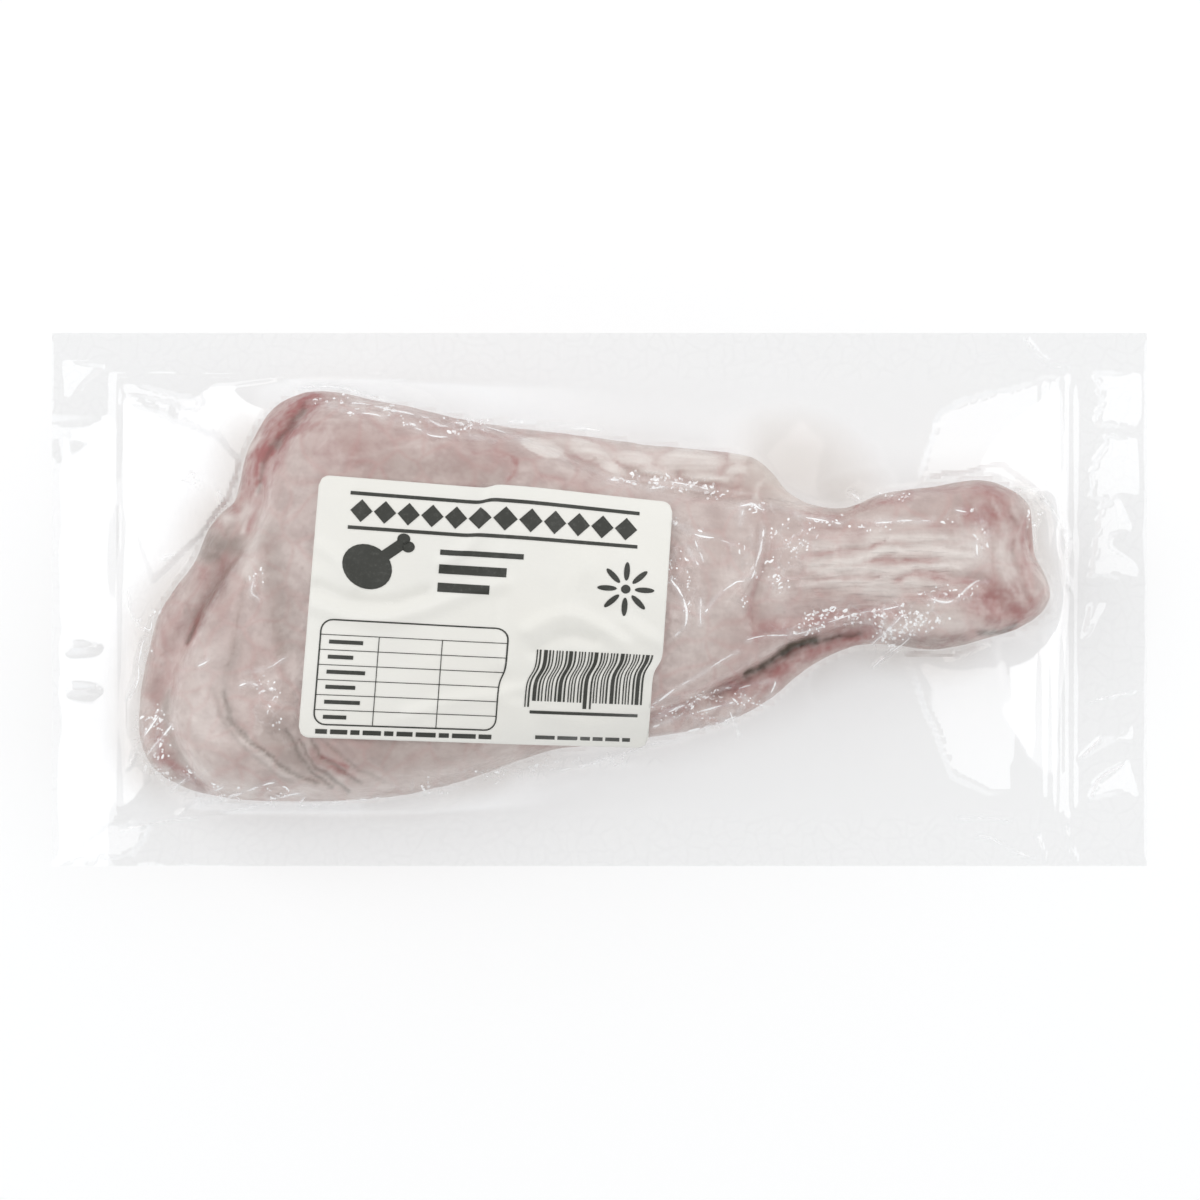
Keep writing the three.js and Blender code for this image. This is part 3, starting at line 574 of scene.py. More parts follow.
def on_shank(x, y):
    """1 on the middle of the shank, where sinews show, and 0 at its ends and edges."""
    across = np.clip(1.5 - np.abs(y - 8 - 0.04 * (x - 80)) / 11, 0, 1)
    return np.clip((x - 48) / 18, 0, 1) * np.clip((106 - x) / 14, 0, 1) * across


def meat_relief(x, y):
    """What the folds, the rolls and the small lumps add to the top of the meat."""
    relief = np.zeros(x.shape)
    moved_x, moved_y = wandered(x, y, 0.8)
    for depth, width, line in MEAT_FOLDS.values():
        relief -= depth * near(line, width, moved_x, moved_y)
    for height, *ellipse in FAT_LUMPS:
        relief += height * dome(moved_x, moved_y, *ellipse)
    places = np.stack([x, y], axis=-1)
    relief += 0.5 * lumps(places, 13, 1) + 0.22 * lumps(places, 5, 2)
    sinews = lumps(places * [0.22, 1.0], 2.6, 3)
    return relief + 0.38 * sinews * on_shank(x, y)


def meat_top(x, y):
    inside = distance_inside(drumstick_outline, x, y)
    widest = size_at(WIDEST_HEIGHT, x)
    lower_rise = size_at(LOWER_RISE, x)
    lower = widest + lower_rise * rise(inside, size_at(LOWER_ROUNDING, x))
    on_upper = distance_inside(upper_outline, x, y)
    crown = size_at(CROWN_HEIGHT, x) - widest - lower_rise - SKIN_EDGE_HEIGHT
    upper = (SKIN_EDGE_HEIGHT * rise(on_upper, SKIN_EDGE_WIDTH)
             + crown * rise(on_upper, size_at(UPPER_ROUNDING, x)))
    top = lower + upper + meat_relief(x, y) * np.clip(inside / 5, 0, 1)
    return np.where(inside > 0, top, widest + 3 * inside) - FILM_CLEARANCE


def meat_underside(x, y):
    inside = distance_inside(drumstick_outline, x, y)
    widest = size_at(WIDEST_HEIGHT, x)
    reach = widest + UNDERSIDE_PRESSED
    flat = FILM_CLEARANCE + 0.25 * (1 + lumps(np.stack([x, y], axis=-1), 9, 4))
    under = np.maximum(widest - reach * rise(inside, size_at(UNDERSIDE_ROUNDING, x)), flat)
    return np.where(inside > 0, under, widest - 3 * inside)


# ---------------------------------------------------------------- meshes

def new_piece(name, places, faces, material, slot, replaced):
    mesh = bpy.data.meshes.new(name)
    mesh.from_pydata([tuple(place) for place in places * MM], [], faces)
    mesh.validate()
    mesh.shade_smooth()
    piece = bpy.data.objects.new(name, mesh)
    bpy.context.scene.collection.objects.link(piece)
    mesh.materials.append(material)
    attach(piece, "root")
    if replaced:
        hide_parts(replaced)
    return piece


def paint(piece, name, values):
    """Stores a mask on the piece's vertices, for its material to read."""
    mask = piece.data.attributes.new(name, "FLOAT", "POINT")
    mask.data.foreach_set("value", np.clip(values, 0, 1).astype(np.float32))


def vertices_of(piece):
    flat = np.empty(len(piece.data.vertices) * 3, np.float32)
    piece.data.vertices.foreach_get("co", flat)
    return flat.reshape(-1, 3).astype(float) / MM


def normals_of(piece):
    flat = np.empty(len(piece.data.vertices) * 3, np.float32)
    piece.data.vertex_normals.foreach_get("vector", flat)
    return flat.reshape(-1, 3).astype(float)


def move_vertices(piece, places):
    piece.data.vertices.foreach_set("co", (places * MM).astype(np.float32).ravel())
    piece.data.update()


def apply_modifier(piece, kind, **settings):
    modifier = piece.modifiers.new(kind.title(), kind)
    for key, value in settings.items():
        setattr(modifier, key, value)
    with bpy.context.temp_override(object=piece, active_object=piece, selected_objects=[piece]):
        bpy.ops.object.modifier_apply(modifier=modifier.name)


# ---------------------------------------------------------------- shader node groups

class Nodes:
    """Adds and joins nodes in one tree: values go in as numbers, sockets or tuples."""

    def __init__(self, tree):
        self.tree = tree

    def add(self, kind, inputs=None, **settings):
        node = self.tree.nodes.new(kind)
        for key, value in settings.items():
            setattr(node, key, value)
        for key, value in (inputs or {}).items():
            if isinstance(value, bpy.types.NodeSocket):
                self.tree.links.new(value, node.inputs[key])
            else:
                node.inputs[key].default_value = value
        return node

    def math(self, operation, *values):
        node = self.add("ShaderNodeMath", dict(enumerate(values)), operation=operation)
        return node.outputs[0]

    def mix(self, share, one, other):
        colours = [c if isinstance(c, bpy.types.NodeSocket) else (*c, 1) for c in (one, other)]
        node = self.add("ShaderNodeMix", {0: share, 6: colours[0], 7: colours[1]}, data_type="RGBA")
        return node.outputs[2]

    def mask(self, name):
        return self.add("ShaderNodeAttribute", attribute_name=name).outputs["Fac"]

    def group(self, tree, **inputs):
        node = self.add("ShaderNodeGroup", node_tree=tree)
        for key, value in inputs.items():
            key = key.replace("_", " ").capitalize()
            if isinstance(value, bpy.types.NodeSocket):
                self.tree.links.new(value, node.inputs[key])
            else:
                node.inputs[key].default_value = value
        return node


def new_group(name, inputs, outputs):
    """A shader node group with named number inputs and outputs, and its helper."""
    tree = bpy.data.node_groups.new(name, "ShaderNodeTree")
    for key, value in inputs.items():
        tree.interface.new_socket(key, in_out="INPUT", socket_type="NodeSocketFloat").default_value = value
    for key in outputs:
        tree.interface.new_socket(key, in_out="OUTPUT", socket_type="NodeSocketFloat")
    nodes = Nodes(tree)
    return tree, nodes, nodes.add("NodeGroupInput").outputs


def object_place(nodes):
    return nodes.add("ShaderNodeTexCoord").outputs["Object"]


def blotches_group():
    """Soft patches with ragged edges: 0 outside them, 1 inside."""
    tree, nodes, given = new_group(
        "Soft blotches", {"Scale": 60, "Amount": 0.5, "Softness": 0.2, "Seed": 0}, ["Mask"])
    place = nodes.add("ShaderNodeVectorMath", {
        0: object_place(nodes), 1: given["Seed"]}, operation="ADD")
    noise = nodes.add("ShaderNodeTexNoise", {
        "Vector": place.outputs[0], "Scale": given["Scale"], "Detail": 2, "Roughness": 0.6})
    low = nodes.math("SUBTRACT", nodes.math("SUBTRACT", 1, given["Amount"]), given["Softness"])
    high = nodes.math("ADD", nodes.math("SUBTRACT", 1, given["Amount"]), given["Softness"])
    stretched = nodes.add("ShaderNodeMapRange", {
        "Value": noise.outputs["Fac"], "From Min": low, "From Max": high},
        interpolation_type="SMOOTHSTEP")
    nodes.add("NodeGroupOutput", {"Mask": stretched.outputs["Result"]})
    return tree


def creases_group():
    """Thin sharp creases between flat facets, as crumpled film or tight skin has."""
    tree, nodes, given = new_group(
        "Sharp creases", {"Scale": 200, "Sharpness": 8, "Warp": 0.002, "Seed": 0}, ["Height", "Line"])
    place = nodes.add("ShaderNodeVectorMath", {
        0: object_place(nodes), 1: given["Seed"]}, operation="ADD").outputs[0]
    warp = nodes.add("ShaderNodeTexNoise", {
        "Vector": place, "Scale": nodes.math("MULTIPLY", given["Scale"], 0.6), "Detail": 1},
        noise_dimensions="2D")
    centred = nodes.add("ShaderNodeVectorMath", {
        0: warp.outputs["Color"], 1: (0.5, 0.5, 0.5)}, operation="SUBTRACT")
    moved = nodes.add("ShaderNodeVectorMath", {
        0: centred.outputs[0], "Scale": given["Warp"]}, operation="SCALE")
    warped = nodes.add("ShaderNodeVectorMath", {0: place, 1: moved.outputs[0]}, operation="ADD")
    cells = nodes.add("ShaderNodeTexVoronoi", {
        "Vector": warped.outputs[0], "Scale": given["Scale"]},
        feature="DISTANCE_TO_EDGE", voronoi_dimensions="2D")
    line = nodes.math("SUBTRACT", 1, nodes.math(
        "MINIMUM", nodes.math("MULTIPLY", cells.outputs["Distance"], given["Sharpness"]), 1))
    nodes.add("NodeGroupOutput", {"Height": cells.outputs["Distance"], "Line": line})
    return tree


def fibres_group():
    """Long thin streaks along X, such as sinews, muscle fibres and paper grain."""
    tree, nodes, given = new_group(
        "Long fibres", {"Scale": 300, "Stretch": 0.1, "Contrast": 2}, ["Mask"])
    squeezed = nodes.add("ShaderNodeCombineXYZ", {0: given["Stretch"], 1: 1, 2: 1})
    place = nodes.add("ShaderNodeVectorMath", {
        0: object_place(nodes), 1: squeezed.outputs[0]}, operation="MULTIPLY")
    noise = nodes.add("ShaderNodeTexNoise", {
        "Vector": place.outputs[0], "Scale": given["Scale"], "Detail": 2})
    centred = nodes.math("SUBTRACT", noise.outputs["Fac"], 0.5)
    raised = nodes.math("ADD", nodes.math("MULTIPLY", centred, given["Contrast"]), 0.5)
    clamped = nodes.add("ShaderNodeClamp", {"Value": raised})
    nodes.add("NodeGroupOutput", {"Mask": clamped.outputs["Result"]})
    return tree


blotches = blotches_group()
creases = creases_group()
fibres = fibres_group()


def new_material(name):
    material = bpy.data.materials.new(name)
    material.use_nodes = True
    material.node_tree.nodes.clear()
    return material, Nodes(material.node_tree)


def finish_material(nodes, **inputs):
    """Ends a material with its one Principled shader."""
    named = {key.replace("_", " "): value for key, value in inputs.items()}
    shader = nodes.add("ShaderNodeBsdfPrincipled", named)
    nodes.add("ShaderNodeOutputMaterial", {"Surface": shader.outputs[0]})


def bump(nodes, height, strength, distance):
    return nodes.add("ShaderNodeBump", {
        "Height": height, "Strength": strength, "Distance": distance}).outputs["Normal"]


# ---------------------------------------------------------------- materials

def skin_and_meat():
    material, nodes = new_material("turkey_skin_and_raw_meat")
    wide = nodes.group(blotches, scale=42, amount=0.5, softness=0.12, seed=1).outputs["Mask"]
    small = nodes.group(blotches, scale=190, amount=0.48, softness=0.16, seed=2).outputs["Mask"]
    strands = nodes.group(fibres, scale=480, stretch=0.12, contrast=2.3).outputs["Mask"]
    veins = nodes.group(creases, scale=105, sharpness=7, warp=0.012, seed=3).outputs["Line"]

    def share(mask, amount):
        return nodes.math("MULTIPLY", mask, amount)

    colour = nodes.mix(share(wide, 0.6), SKIN_MAUVE, SKIN_PALE)
    colour = nodes.mix(share(small, 0.5), colour, SKIN_LILAC)
    colour = nodes.mix(share(veins, 0.35), colour, SKIN_PINK)
    # grey meat and painted shade in furrows and on shaded sides
    colour = nodes.mix(share(nodes.mask("grey_and_shade"), 0.75), colour, MEAT_GREY_AND_SHADE)
    ragged = nodes.math("ADD", 0.58, share(small, 0.6))
    colour = nodes.mix(nodes.math("MULTIPLY", nodes.mask("raw"), ragged), colour, RAW_MEAT)
    on_shank = nodes.math("MULTIPLY", nodes.mask("shank"), strands)
    colour = nodes.mix(share(on_shank, 0.55), colour, FAT_CREAM)
    pale = nodes.math("MULTIPLY", nodes.mask("pale"), nodes.math("ADD", 0.6, share(strands, 0.4)))
    colour = nodes.mix(pale, colour, FAT_CREAM)
    # painted shade from the dark marks
    colour = nodes.mix(share(nodes.mask("dark"), 0.95), colour, PAINTED_GAP_SHADE)

    grain = nodes.add("ShaderNodeTexNoise", {"Vector": object_place(nodes), "Scale": 420, "Detail": 1})
    height = nodes.math("ADD", grain.outputs["Fac"], on_shank)
    finish_material(
        nodes, Base_Color=colour, Roughness=nodes.math("ADD", 0.4, share(small, 0.15)),
        Normal=bump(nodes, height, 0.7, 0.0008))
    return material


def clear_film():
    """Thin film: it mirrors a little of the light and lets the rest through. It mirrors more at
    a slant, and so on its creases. Its creases and crumpled places carry painted white glint lines, and beside the
    meat a warm tint is painted contact shade mixed with meat juices."""
    material, nodes = new_material("clear_vacuum_film")
    crumple = nodes.mask("crumple")
    wrinkles = nodes.group(creases, scale=230, sharpness=8, warp=0.005, seed=1)
    slant = nodes.add("ShaderNodeFresnel", {"IOR": 1.72}).outputs["Fac"]
    loose = nodes.math("SUBTRACT", 1, nodes.math("MULTIPLY", nodes.mask("tight"), 0.78))
    mirror = nodes.math("MULTIPLY", nodes.math("MINIMUM", slant, 0.22), loose)
    # Painted glints: white lines on the film's creases and crumpled places, whatever the light
    line = nodes.math("MULTIPLY", wrinkles.outputs["Line"], nodes.math("MULTIPLY", crumple, 0.16))
    painted_glint_lines = nodes.math("ADD", line, nodes.math("MULTIPLY", nodes.mask("crease"), 0.22))
    # A warm tint beside the meat: painted contact shade mixed with meat juices.
    juice_and_shade = nodes.math("MULTIPLY", nodes.mask("juice_and_shade"), 0.5)
    covered = nodes.math("ADD", nodes.math("ADD", mirror, painted_glint_lines), juice_and_shade)
    # the share of painted glint lines and painted shade, which is not mirror
    scattering = nodes.math("DIVIDE", nodes.math("ADD", painted_glint_lines, juice_and_shade), covered)
    colour = nodes.mix(nodes.math("DIVIDE", juice_and_shade, covered), FILM_CLEAR, FILM_JUICE_AND_SHADE)
    finish_material(
        nodes, Base_Color=colour, Metallic=nodes.math("SUBTRACT", 1, scattering), Roughness=0.045,
        Alpha=nodes.math("MINIMUM", covered, 1))
    return material


def painted_glints():
    """Painted glints: white marks on the film's creases that stand for the light they mirror."""
    material, nodes = new_material("painted_crease_glints")
    broken = nodes.group(blotches, scale=700, amount=0.62, softness=0.25, seed=8).outputs["Mask"]
    # bright: how strongly each painted glint shows
    alpha = nodes.math("MULTIPLY", nodes.mask("bright"), nodes.math("ADD", 0.55, nodes.math("MULTIPLY", broken, 0.6)))
    finish_material(nodes, Base_Color=(*PAINTED_GLINT_WHITE, 1), Roughness=0.25, Alpha=alpha)
    return material


def label_paper():
    material, nodes = new_material("label_paper")
    grain = nodes.group(fibres, scale=1500, stretch=0.5, contrast=1.6).outputs["Mask"]
    cloud = nodes.group(blotches, scale=30, amount=0.5, softness=0.3, seed=5).outputs["Mask"]
    colour = nodes.mix(nodes.math("MULTIPLY", cloud, 0.5), PAPER_WHITE, (0.77, 0.765, 0.73))
    colour = nodes.mix(nodes.math("MULTIPLY", grain, 0.12), colour, (0.72, 0.71, 0.67))
    finish_material(
        nodes, Base_Color=colour, Roughness=nodes.math("ADD", 0.42, nodes.math("MULTIPLY", grain, 0.15)),
        Normal=bump(nodes, grain, 0.12, 0.0002))
    return material


def label_ink():
    material, nodes = new_material("label_ink")
    worn = nodes.group(blotches, scale=900, amount=0.3, softness=0.2, seed=6).outputs["Mask"]
    grain = nodes.group(fibres, scale=1500, stretch=0.5, contrast=1.6).outputs["Mask"]
    colour = nodes.mix(nodes.math("MULTIPLY", worn, 0.16), INK_BLACK, (0.28, 0.28, 0.26))
    finish_material(
        nodes, Base_Color=colour, Roughness=nodes.math("ADD", 0.45, nodes.math("MULTIPLY", grain, 0.2)),
        Normal=bump(nodes, grain, 0.1, 0.0002))
    return material


def studio_floor():
    material, nodes = new_material("studio_floor")
    cloud = nodes.group(blotches, scale=3, amount=0.5, softness=0.4, seed=7).outputs["Mask"]
    colour = nodes.mix(nodes.math("MULTIPLY", cloud, 0.3), FLOOR_WHITE, (0.55, 0.55, 0.55))
    finish_material(
        nodes, Base_Color=colour, Roughness=0.9, Emission_Color=(*FLOOR_GLOW_TINT, 1), Emission_Strength=FLOOR_GLOW)
    return material


# ---------------------------------------------------------------- the drumstick

def crossings(x):
    """Where the outline crosses a line across the pouch at x: (front, back)."""
    found = [ay + (by - ay) * (x - ax) / (bx - ax)
             for (ax, ay), (bx, by) in zip(drumstick_outline[:-1], drumstick_outline[1:])
             if (ax > x) != (bx > x)]
    return min(found), max(found)


def drumstick_form():
    """Rings round the meat's length, closed to a point at either end."""
    ends = drumstick_outline[:, 0].min() + 0.05, drumstick_outline[:, 0].max() - 0.05
    turned = 12 * (1 - np.cos(np.linspace(0, math.pi / 2, 20)))
    middle = np.arange(ends[0] + 12, ends[1] - 12, 1.0)
    stations = np.concatenate([ends[0] + turned, middle[1:], ends[1] - turned[::-1]])
    across = np.sin(np.linspace(-1.4, 1.4, 121)) / math.sin(1.4)
    front, back = np.array([crossings(x) for x in stations]).T[:, :, None]
    x = np.repeat(stations[:, None], len(across), axis=1)
    y = (front + back) / 2 + (back - front) / 2 * across
    over, under = meat_top(x, y), meat_underside(x, y)
    over[:, [0, -1]] = under[:, [0, -1]] = size_at(WIDEST_HEIGHT, x[:, [0, -1]])
    top, bottom = np.stack([x, y, over], axis=-1), np.stack([x, y, under], axis=-1)
    rings = np.concatenate([top, bottom[:, -2:0:-1]], axis=1)
    last, count = len(rings) - 1, rings.shape[1]
    faces = [(i * count + j, (i + 1) * count + j, (i + 1) * count + (j + 1) % count, i * count + (j + 1) % count)
             for i in range(last) for j in range(count)]
    faces += [tuple(range(count)), tuple(range(last * count, (last + 1) * count))[::-1]]
    return rings.reshape(-1, 3), faces


def drumstick(material):
    piece = new_piece("drumstick", *drumstick_form(), material, "turkey_skin", "vacuum_pouch")
    apply_modifier(piece, "REMESH", mode="VOXEL", voxel_size=MEAT_SPACING * MM, use_smooth_shade=True)
    apply_modifier(piece, "SMOOTH", factor=0.5, iterations=3)
    places, normals = vertices_of(piece), normals_of(piece)
    small = 0.10 * lumps(places, 2.6, 5) + 0.16 * lumps(places, 6, 6)
    move_vertices(piece, places + normals * small[:, None])
    x, y, z = places.T
    facing_up = np.clip(normals[:, 2] * 2 + 0.9, 0, 1)
    paint(piece, "raw", marked(RAW_MARKS, x, y) * facing_up)
    fat = np.max([dome(*wandered(x, y, 0.5), *ellipse) ** 0.4 for _, *ellipse in FAT_LUMPS], axis=0)
    paint(piece, "pale", np.maximum(marked(PALE_MARKS, x, y), 0.95 * fat) * facing_up)
    # dark: painted shade in the gap, the furrows and along folded edges
    paint(piece, "dark", marked(PAINTED_SHADE_MARKS, x, y) * facing_up)
    # grey meat and painted shade in furrows and on shaded sides
    paint(piece, "grey_and_shade", marked(GREY_AND_SHADE_MARKS, x, y) * facing_up)
    paint(piece, "shank", on_shank(x, y))
    return piece


# ---------------------------------------------------------------- the film's form

film_x = np.linspace(-POUCH_LENGTH / 2, POUCH_LENGTH / 2, 2 * round(POUCH_LENGTH / FILM_SPACING / 2) + 1)
film_y = np.linspace(-POUCH_WIDTH / 2, POUCH_WIDTH / 2, 2 * round(POUCH_WIDTH / FILM_SPACING / 2) + 1)
grid_x, grid_y = np.meshgrid(film_x, film_y, indexing="ij")
grid_places = np.stack([grid_x, grid_y], axis=-1)
outside_meat = -distance_inside(drumstick_outline, grid_x, grid_y)
inside_pocket = np.minimum.reduce([
    grid_x - POCKET_LEFT, POCKET_RIGHT - grid_x, grid_y - POCKET_FRONT, POCKET_BACK - grid_y])


def blurred(heights, width):
    """Heights on the film's grid, smoothed over about width."""
    reach = round(width / FILM_SPACING)
    kernel = np.hanning(2 * reach + 3)[1:-1]
    kernel /= kernel.sum()
    for axis in (0, 1):
        padded = np.pad(heights, [(reach, reach) if a == axis else (0, 0) for a in (0, 1)], "edge")
        count = heights.shape[axis]
        heights = sum(share * np.take(padded, np.arange(i, i + count), axis)
                      for i, share in enumerate(kernel))
    return heights


def facets(size, seed):
    """Flat facets with sharp edges between them, from -1 to 1: the look of buckled film."""
    wander = [lumps(grid_places, size * 2.2, seed + i) for i in (0, 1)]
    at = grid_places / size + 0.7 * np.stack(wander, axis=-1) + seed * 5.3
    cell = np.floor(at).astype(np.int64)
    u, v = np.moveaxis(at - cell, -1, 0)
    back, side, front, far = (random_at(cell + step) for step in ([0, 0], [1, 0], [0, 1], [1, 1]))
    low = back * (1 - u - v) + side * u + front * v
    high = far * (u + v - 1) + front * (1 - u) + side * (1 - v)
    return np.where(u + v < 1, low, high)


def margin_height():
    """The sealed margin: it droops at its left end, apart from two short bars across it."""
    left_end = np.clip((POCKET_LEFT - 1 - grid_x) / 4, 0, 1) * np.clip((52 - grid_y) / 3, 0, 1)
    bars = np.clip(np.exp(-((grid_y + 13.4) / 1.6) ** 2) + np.exp(-((grid_y + 25.2) / 1.5) ** 2), 0, 1)
    bars = bars * np.clip((grid_x + 149) / 1.5, 0, 1) * np.clip((-138 - grid_x) / 1.5, 0, 1)
    height = MARGIN_HEIGHT - 2.6 * left_end * (-grid_x - 134) / 18 * (1 - bars)
    height = height + 0.4 * np.sin(grid_x / 19) * np.cos(grid_y / 13)
    return height + (0.14 + 0.5 * left_end * (1 - bars)) * facets(9, 11)


def film_slopes():
    """The slack film's flat slopes, so that each of them mirrors the light at one end."""
    height = np.zeros(grid_x.shape)
    ragged = 0.5 * facets(5, 53)
    for facing, outline in FILM_SLOPES:
        corners = np.array(outline + outline[:1], float)
        foot = corners[:, 0].max() if facing > 0 else corners[:, 0].min()
        inside = distance_inside(corners, grid_x, grid_y) + ragged
        slope = FILM_SLOPE * np.maximum(facing * (foot - grid_x), 0)
        height = np.maximum(height, slope * np.clip(inside / SLOPE_EDGE, 0, 1))
    return height


def seal_lines():
    """Low ridges where the seal was pressed, more of them at the shank end."""
    ridges = 0.7 * np.exp(-(inside_pocket / 1.0) ** 2)
    for x in (123.4, 126.2, 131.8):
        across = np.clip((grid_y - POCKET_FRONT) / 3, 0, 1) * np.clip((POCKET_BACK - grid_y) / 3, 0, 1)
        ridges += 0.35 * np.exp(-((grid_x - x) / 0.9) ** 2) * across
    return ridges


def crease_mask():
    mask = np.zeros(grid_x.shape)
    height = np.zeros(grid_x.shape)
    broken = 0.7 + 0.5 * lumps(grid_places, 3, 21)
    for size, line in FILM_CREASES:
        along = near(line, 1.4, grid_x, grid_y) * np.clip(broken, 0, 1)
        mask = np.maximum(mask, along)
        height = np.maximum(height, size * along)
    return mask, height


def crumpled_mask():
    mask = np.zeros(grid_x.shape)
    for strength, *ellipse in CRUMPLED_PLACES:
        x, y, half_length, half_width, _ = ellipse
        away = np.hypot((grid_x - x) / half_length, (grid_y - y) / half_width)
        mask = np.maximum(mask, strength * np.clip(1.6 - away, 0, 1))
    return mask


def film_heights():
    """The heights of the film over and under the meat, on the film's grid."""
    margin = margin_height()
    to_rim = np.maximum(inside_pocket, 0)
    to_meat = np.maximum(outside_meat, 0)
    share = to_rim / (to_rim + to_meat + 1e-6)
    meeting = margin + (size_at(WIDEST_HEIGHT, grid_x) - margin) * share**1.2
    over_meat = np.where(outside_meat < 8, meat_top(grid_x, grid_y), 0)
    tight = np.maximum(blurred(over_meat, 2.4), over_meat) + FILM_CLEARANCE
    slack = FILM_LAYERS_APART / 2 + seal_lines() + film_slopes()
    top = smooth_max(meeting + slack, tight, FILM_BRIDGE)
    under_meat = np.where(outside_meat < 8, meat_underside(grid_x, grid_y), 99) - FILM_CLEARANCE
    bottom = -smooth_max(FILM_LAYERS_APART / 2 - meeting, -under_meat, FILM_BRIDGE)
    return top, np.maximum(bottom, 0)


film_crease, crease_height = crease_mask()
film_crumple = crumpled_mask()
film_top, film_bottom = film_heights()
film_top = film_top + crease_height + 0.3 * film_crumple * (1 + facets(4, 31))


def pouch_form():
    """The film's fine upper side, and an underside with half as many rows, as one closed mesh."""
    columns, rows = grid_x.shape
    over = np.column_stack([grid_x.ravel(), grid_y.ravel(), film_top.ravel()])
    coarse = np.ix_(range(0, columns, 2), range(0, rows, 2))
    under = np.column_stack([grid_x[coarse].ravel(), grid_y[coarse].ravel(), film_bottom[coarse].ravel()])
    half_columns, half_rows = (columns + 1) // 2, (rows + 1) // 2
    number = np.arange(half_columns * half_rows).reshape(half_columns, half_rows) + len(over)
    number[0], number[-1] = np.arange(0, rows, 2), (columns - 1) * rows + np.arange(0, rows, 2)
    number[:, 0] = np.arange(0, columns, 2) * rows
    number[:, -1] = np.arange(0, columns, 2) * rows + rows - 1
    faces = [(i * rows + j, (i + 1) * rows + j, (i + 1) * rows + j + 1, i * rows + j + 1)
             for i in range(columns - 1) for j in range(rows - 1)]
    for i, j in itertools.product(range(half_columns - 1), range(half_rows - 1)):
        ring = [number[i, j], number[i, j + 1], number[i + 1, j + 1], number[i + 1, j]]
        between = {0: i == 0, 1: j == half_rows - 2, 2: i == half_columns - 2, 3: j == 0}
        face = []
        for side in range(4):
            face.append(int(ring[side]))
            if between[side]:
                face.append(int(ring[side] + ring[(side + 1) % 4]) // 2)
        faces.append(tuple(face))
    return np.vstack([over, under]), faces


def pouch(material):
    places, faces = pouch_form()
    piece = new_piece("pouch_film", places, faces, material, "clear_film", "vacuum_pouch")
    piece.data.set_sharp_from_angle(angle=math.radians(40))
    piece.visible_shadow = piece.visible_diffuse = False
    tight = np.clip(0.5 - outside_meat / 3, 0, 1)
    stuck_and_shaded = np.max([dome(grid_x, grid_y, *ellipse) for ellipse in STUCK_AND_SHADED_PLACES], axis=0)
    tight = np.maximum(tight, 1.3 * stuck_and_shaded**1.6)
    juice_and_shade_spots = np.max([dome(grid_x, grid_y, *ellipse) for ellipse in JUICE_AND_SHADE_PLACES], axis=0)
    # Painted contact shade mixed with a meat juice tint: strongest at the meat's edge, fading over 12 mm, stronger at
    # the listed places
    juice_and_shade = np.clip(1 - outside_meat / 12, 0, 1) ** 1.4 * np.clip(1 + outside_meat / 2.5, 0, 1) ** 2
    juice_and_shade = np.maximum(juice_and_shade * (0.25 + 0.75 * juice_and_shade_spots), 0.85 * stuck_and_shaded**1.6)
    juice_and_shade = juice_and_shade * np.clip(0.78 + 0.35 * lumps(grid_places, 11, 41), 0, 1)
    # The crumple mask also sets where the material paints white glint lines, faintly along the pocket's rim too.
    margins = np.clip((4 - inside_pocket) / 6, 0, 1) * 0.12
    masks = {"crease": film_crease, "crumple": np.maximum(film_crumple, margins), "juice_and_shade": juice_and_shade, "tight": tight}
    for name, mask in masks.items():
        under = mask[::2, ::2] if name == "tight" else np.zeros(mask[::2, ::2].shape)
        paint(piece, name, np.concatenate([mask.ravel(), under.ravel()]))
    return piece


def crease_strokes(random):
    """Broken strokes of painted glint along the film's creases: (line, width, brightness)."""
    for _, line in FILM_CREASES:
        curve = curve_through(line, step=0.45)
        curve = np.column_stack(wandered(*curve.T, 0.3))
        at = 0
        while at < len(curve) - 3:
            count = int(random.integers(4, 20))
            if random.random() < 0.75:
                yield curve[at:at + count], random.uniform(0.25, 0.65), random.uniform(0.35, 1)
            at += count + int(random.integers(0, 5))


def crumple_strokes(random):
    """Painted glints: flecks and short strokes in small clusters, strewn where the film is crumpled."""
    for strength, x, y, half_length, half_width, turn in CRUMPLED_PLACES:
        for _ in range(max(3, int(0.4 * strength * half_length * half_width))):
            angle, far = random.uniform(0, math.tau), math.sqrt(random.random())
            middle = np.array([x + math.cos(angle) * far * half_length, y + math.sin(angle) * far * half_width])
            way = math.radians(turn) + random.normal(0, 0.35)
            ahead = np.array([math.cos(way), math.sin(way)])
            aside = np.array([-ahead[1], ahead[0]])
            for _ in range(int(random.integers(2, 6))):
                centre = middle + ahead * random.normal(0, 1.3) + aside * random.normal(0, 0.7)
                length = random.choice([0.4, 0.5, 0.6, 0.8, 1.5])
                bend = random.uniform(-0.25, 0.25) * length
                along = np.linspace(-1, 1, 5)[:, None]
                line = centre + along * ahead * length / 2 + along**2 * aside * bend
                yield line, random.uniform(0.35, 0.75) * min(max(strength, 1), 1.4), random.uniform(0.35, 1)


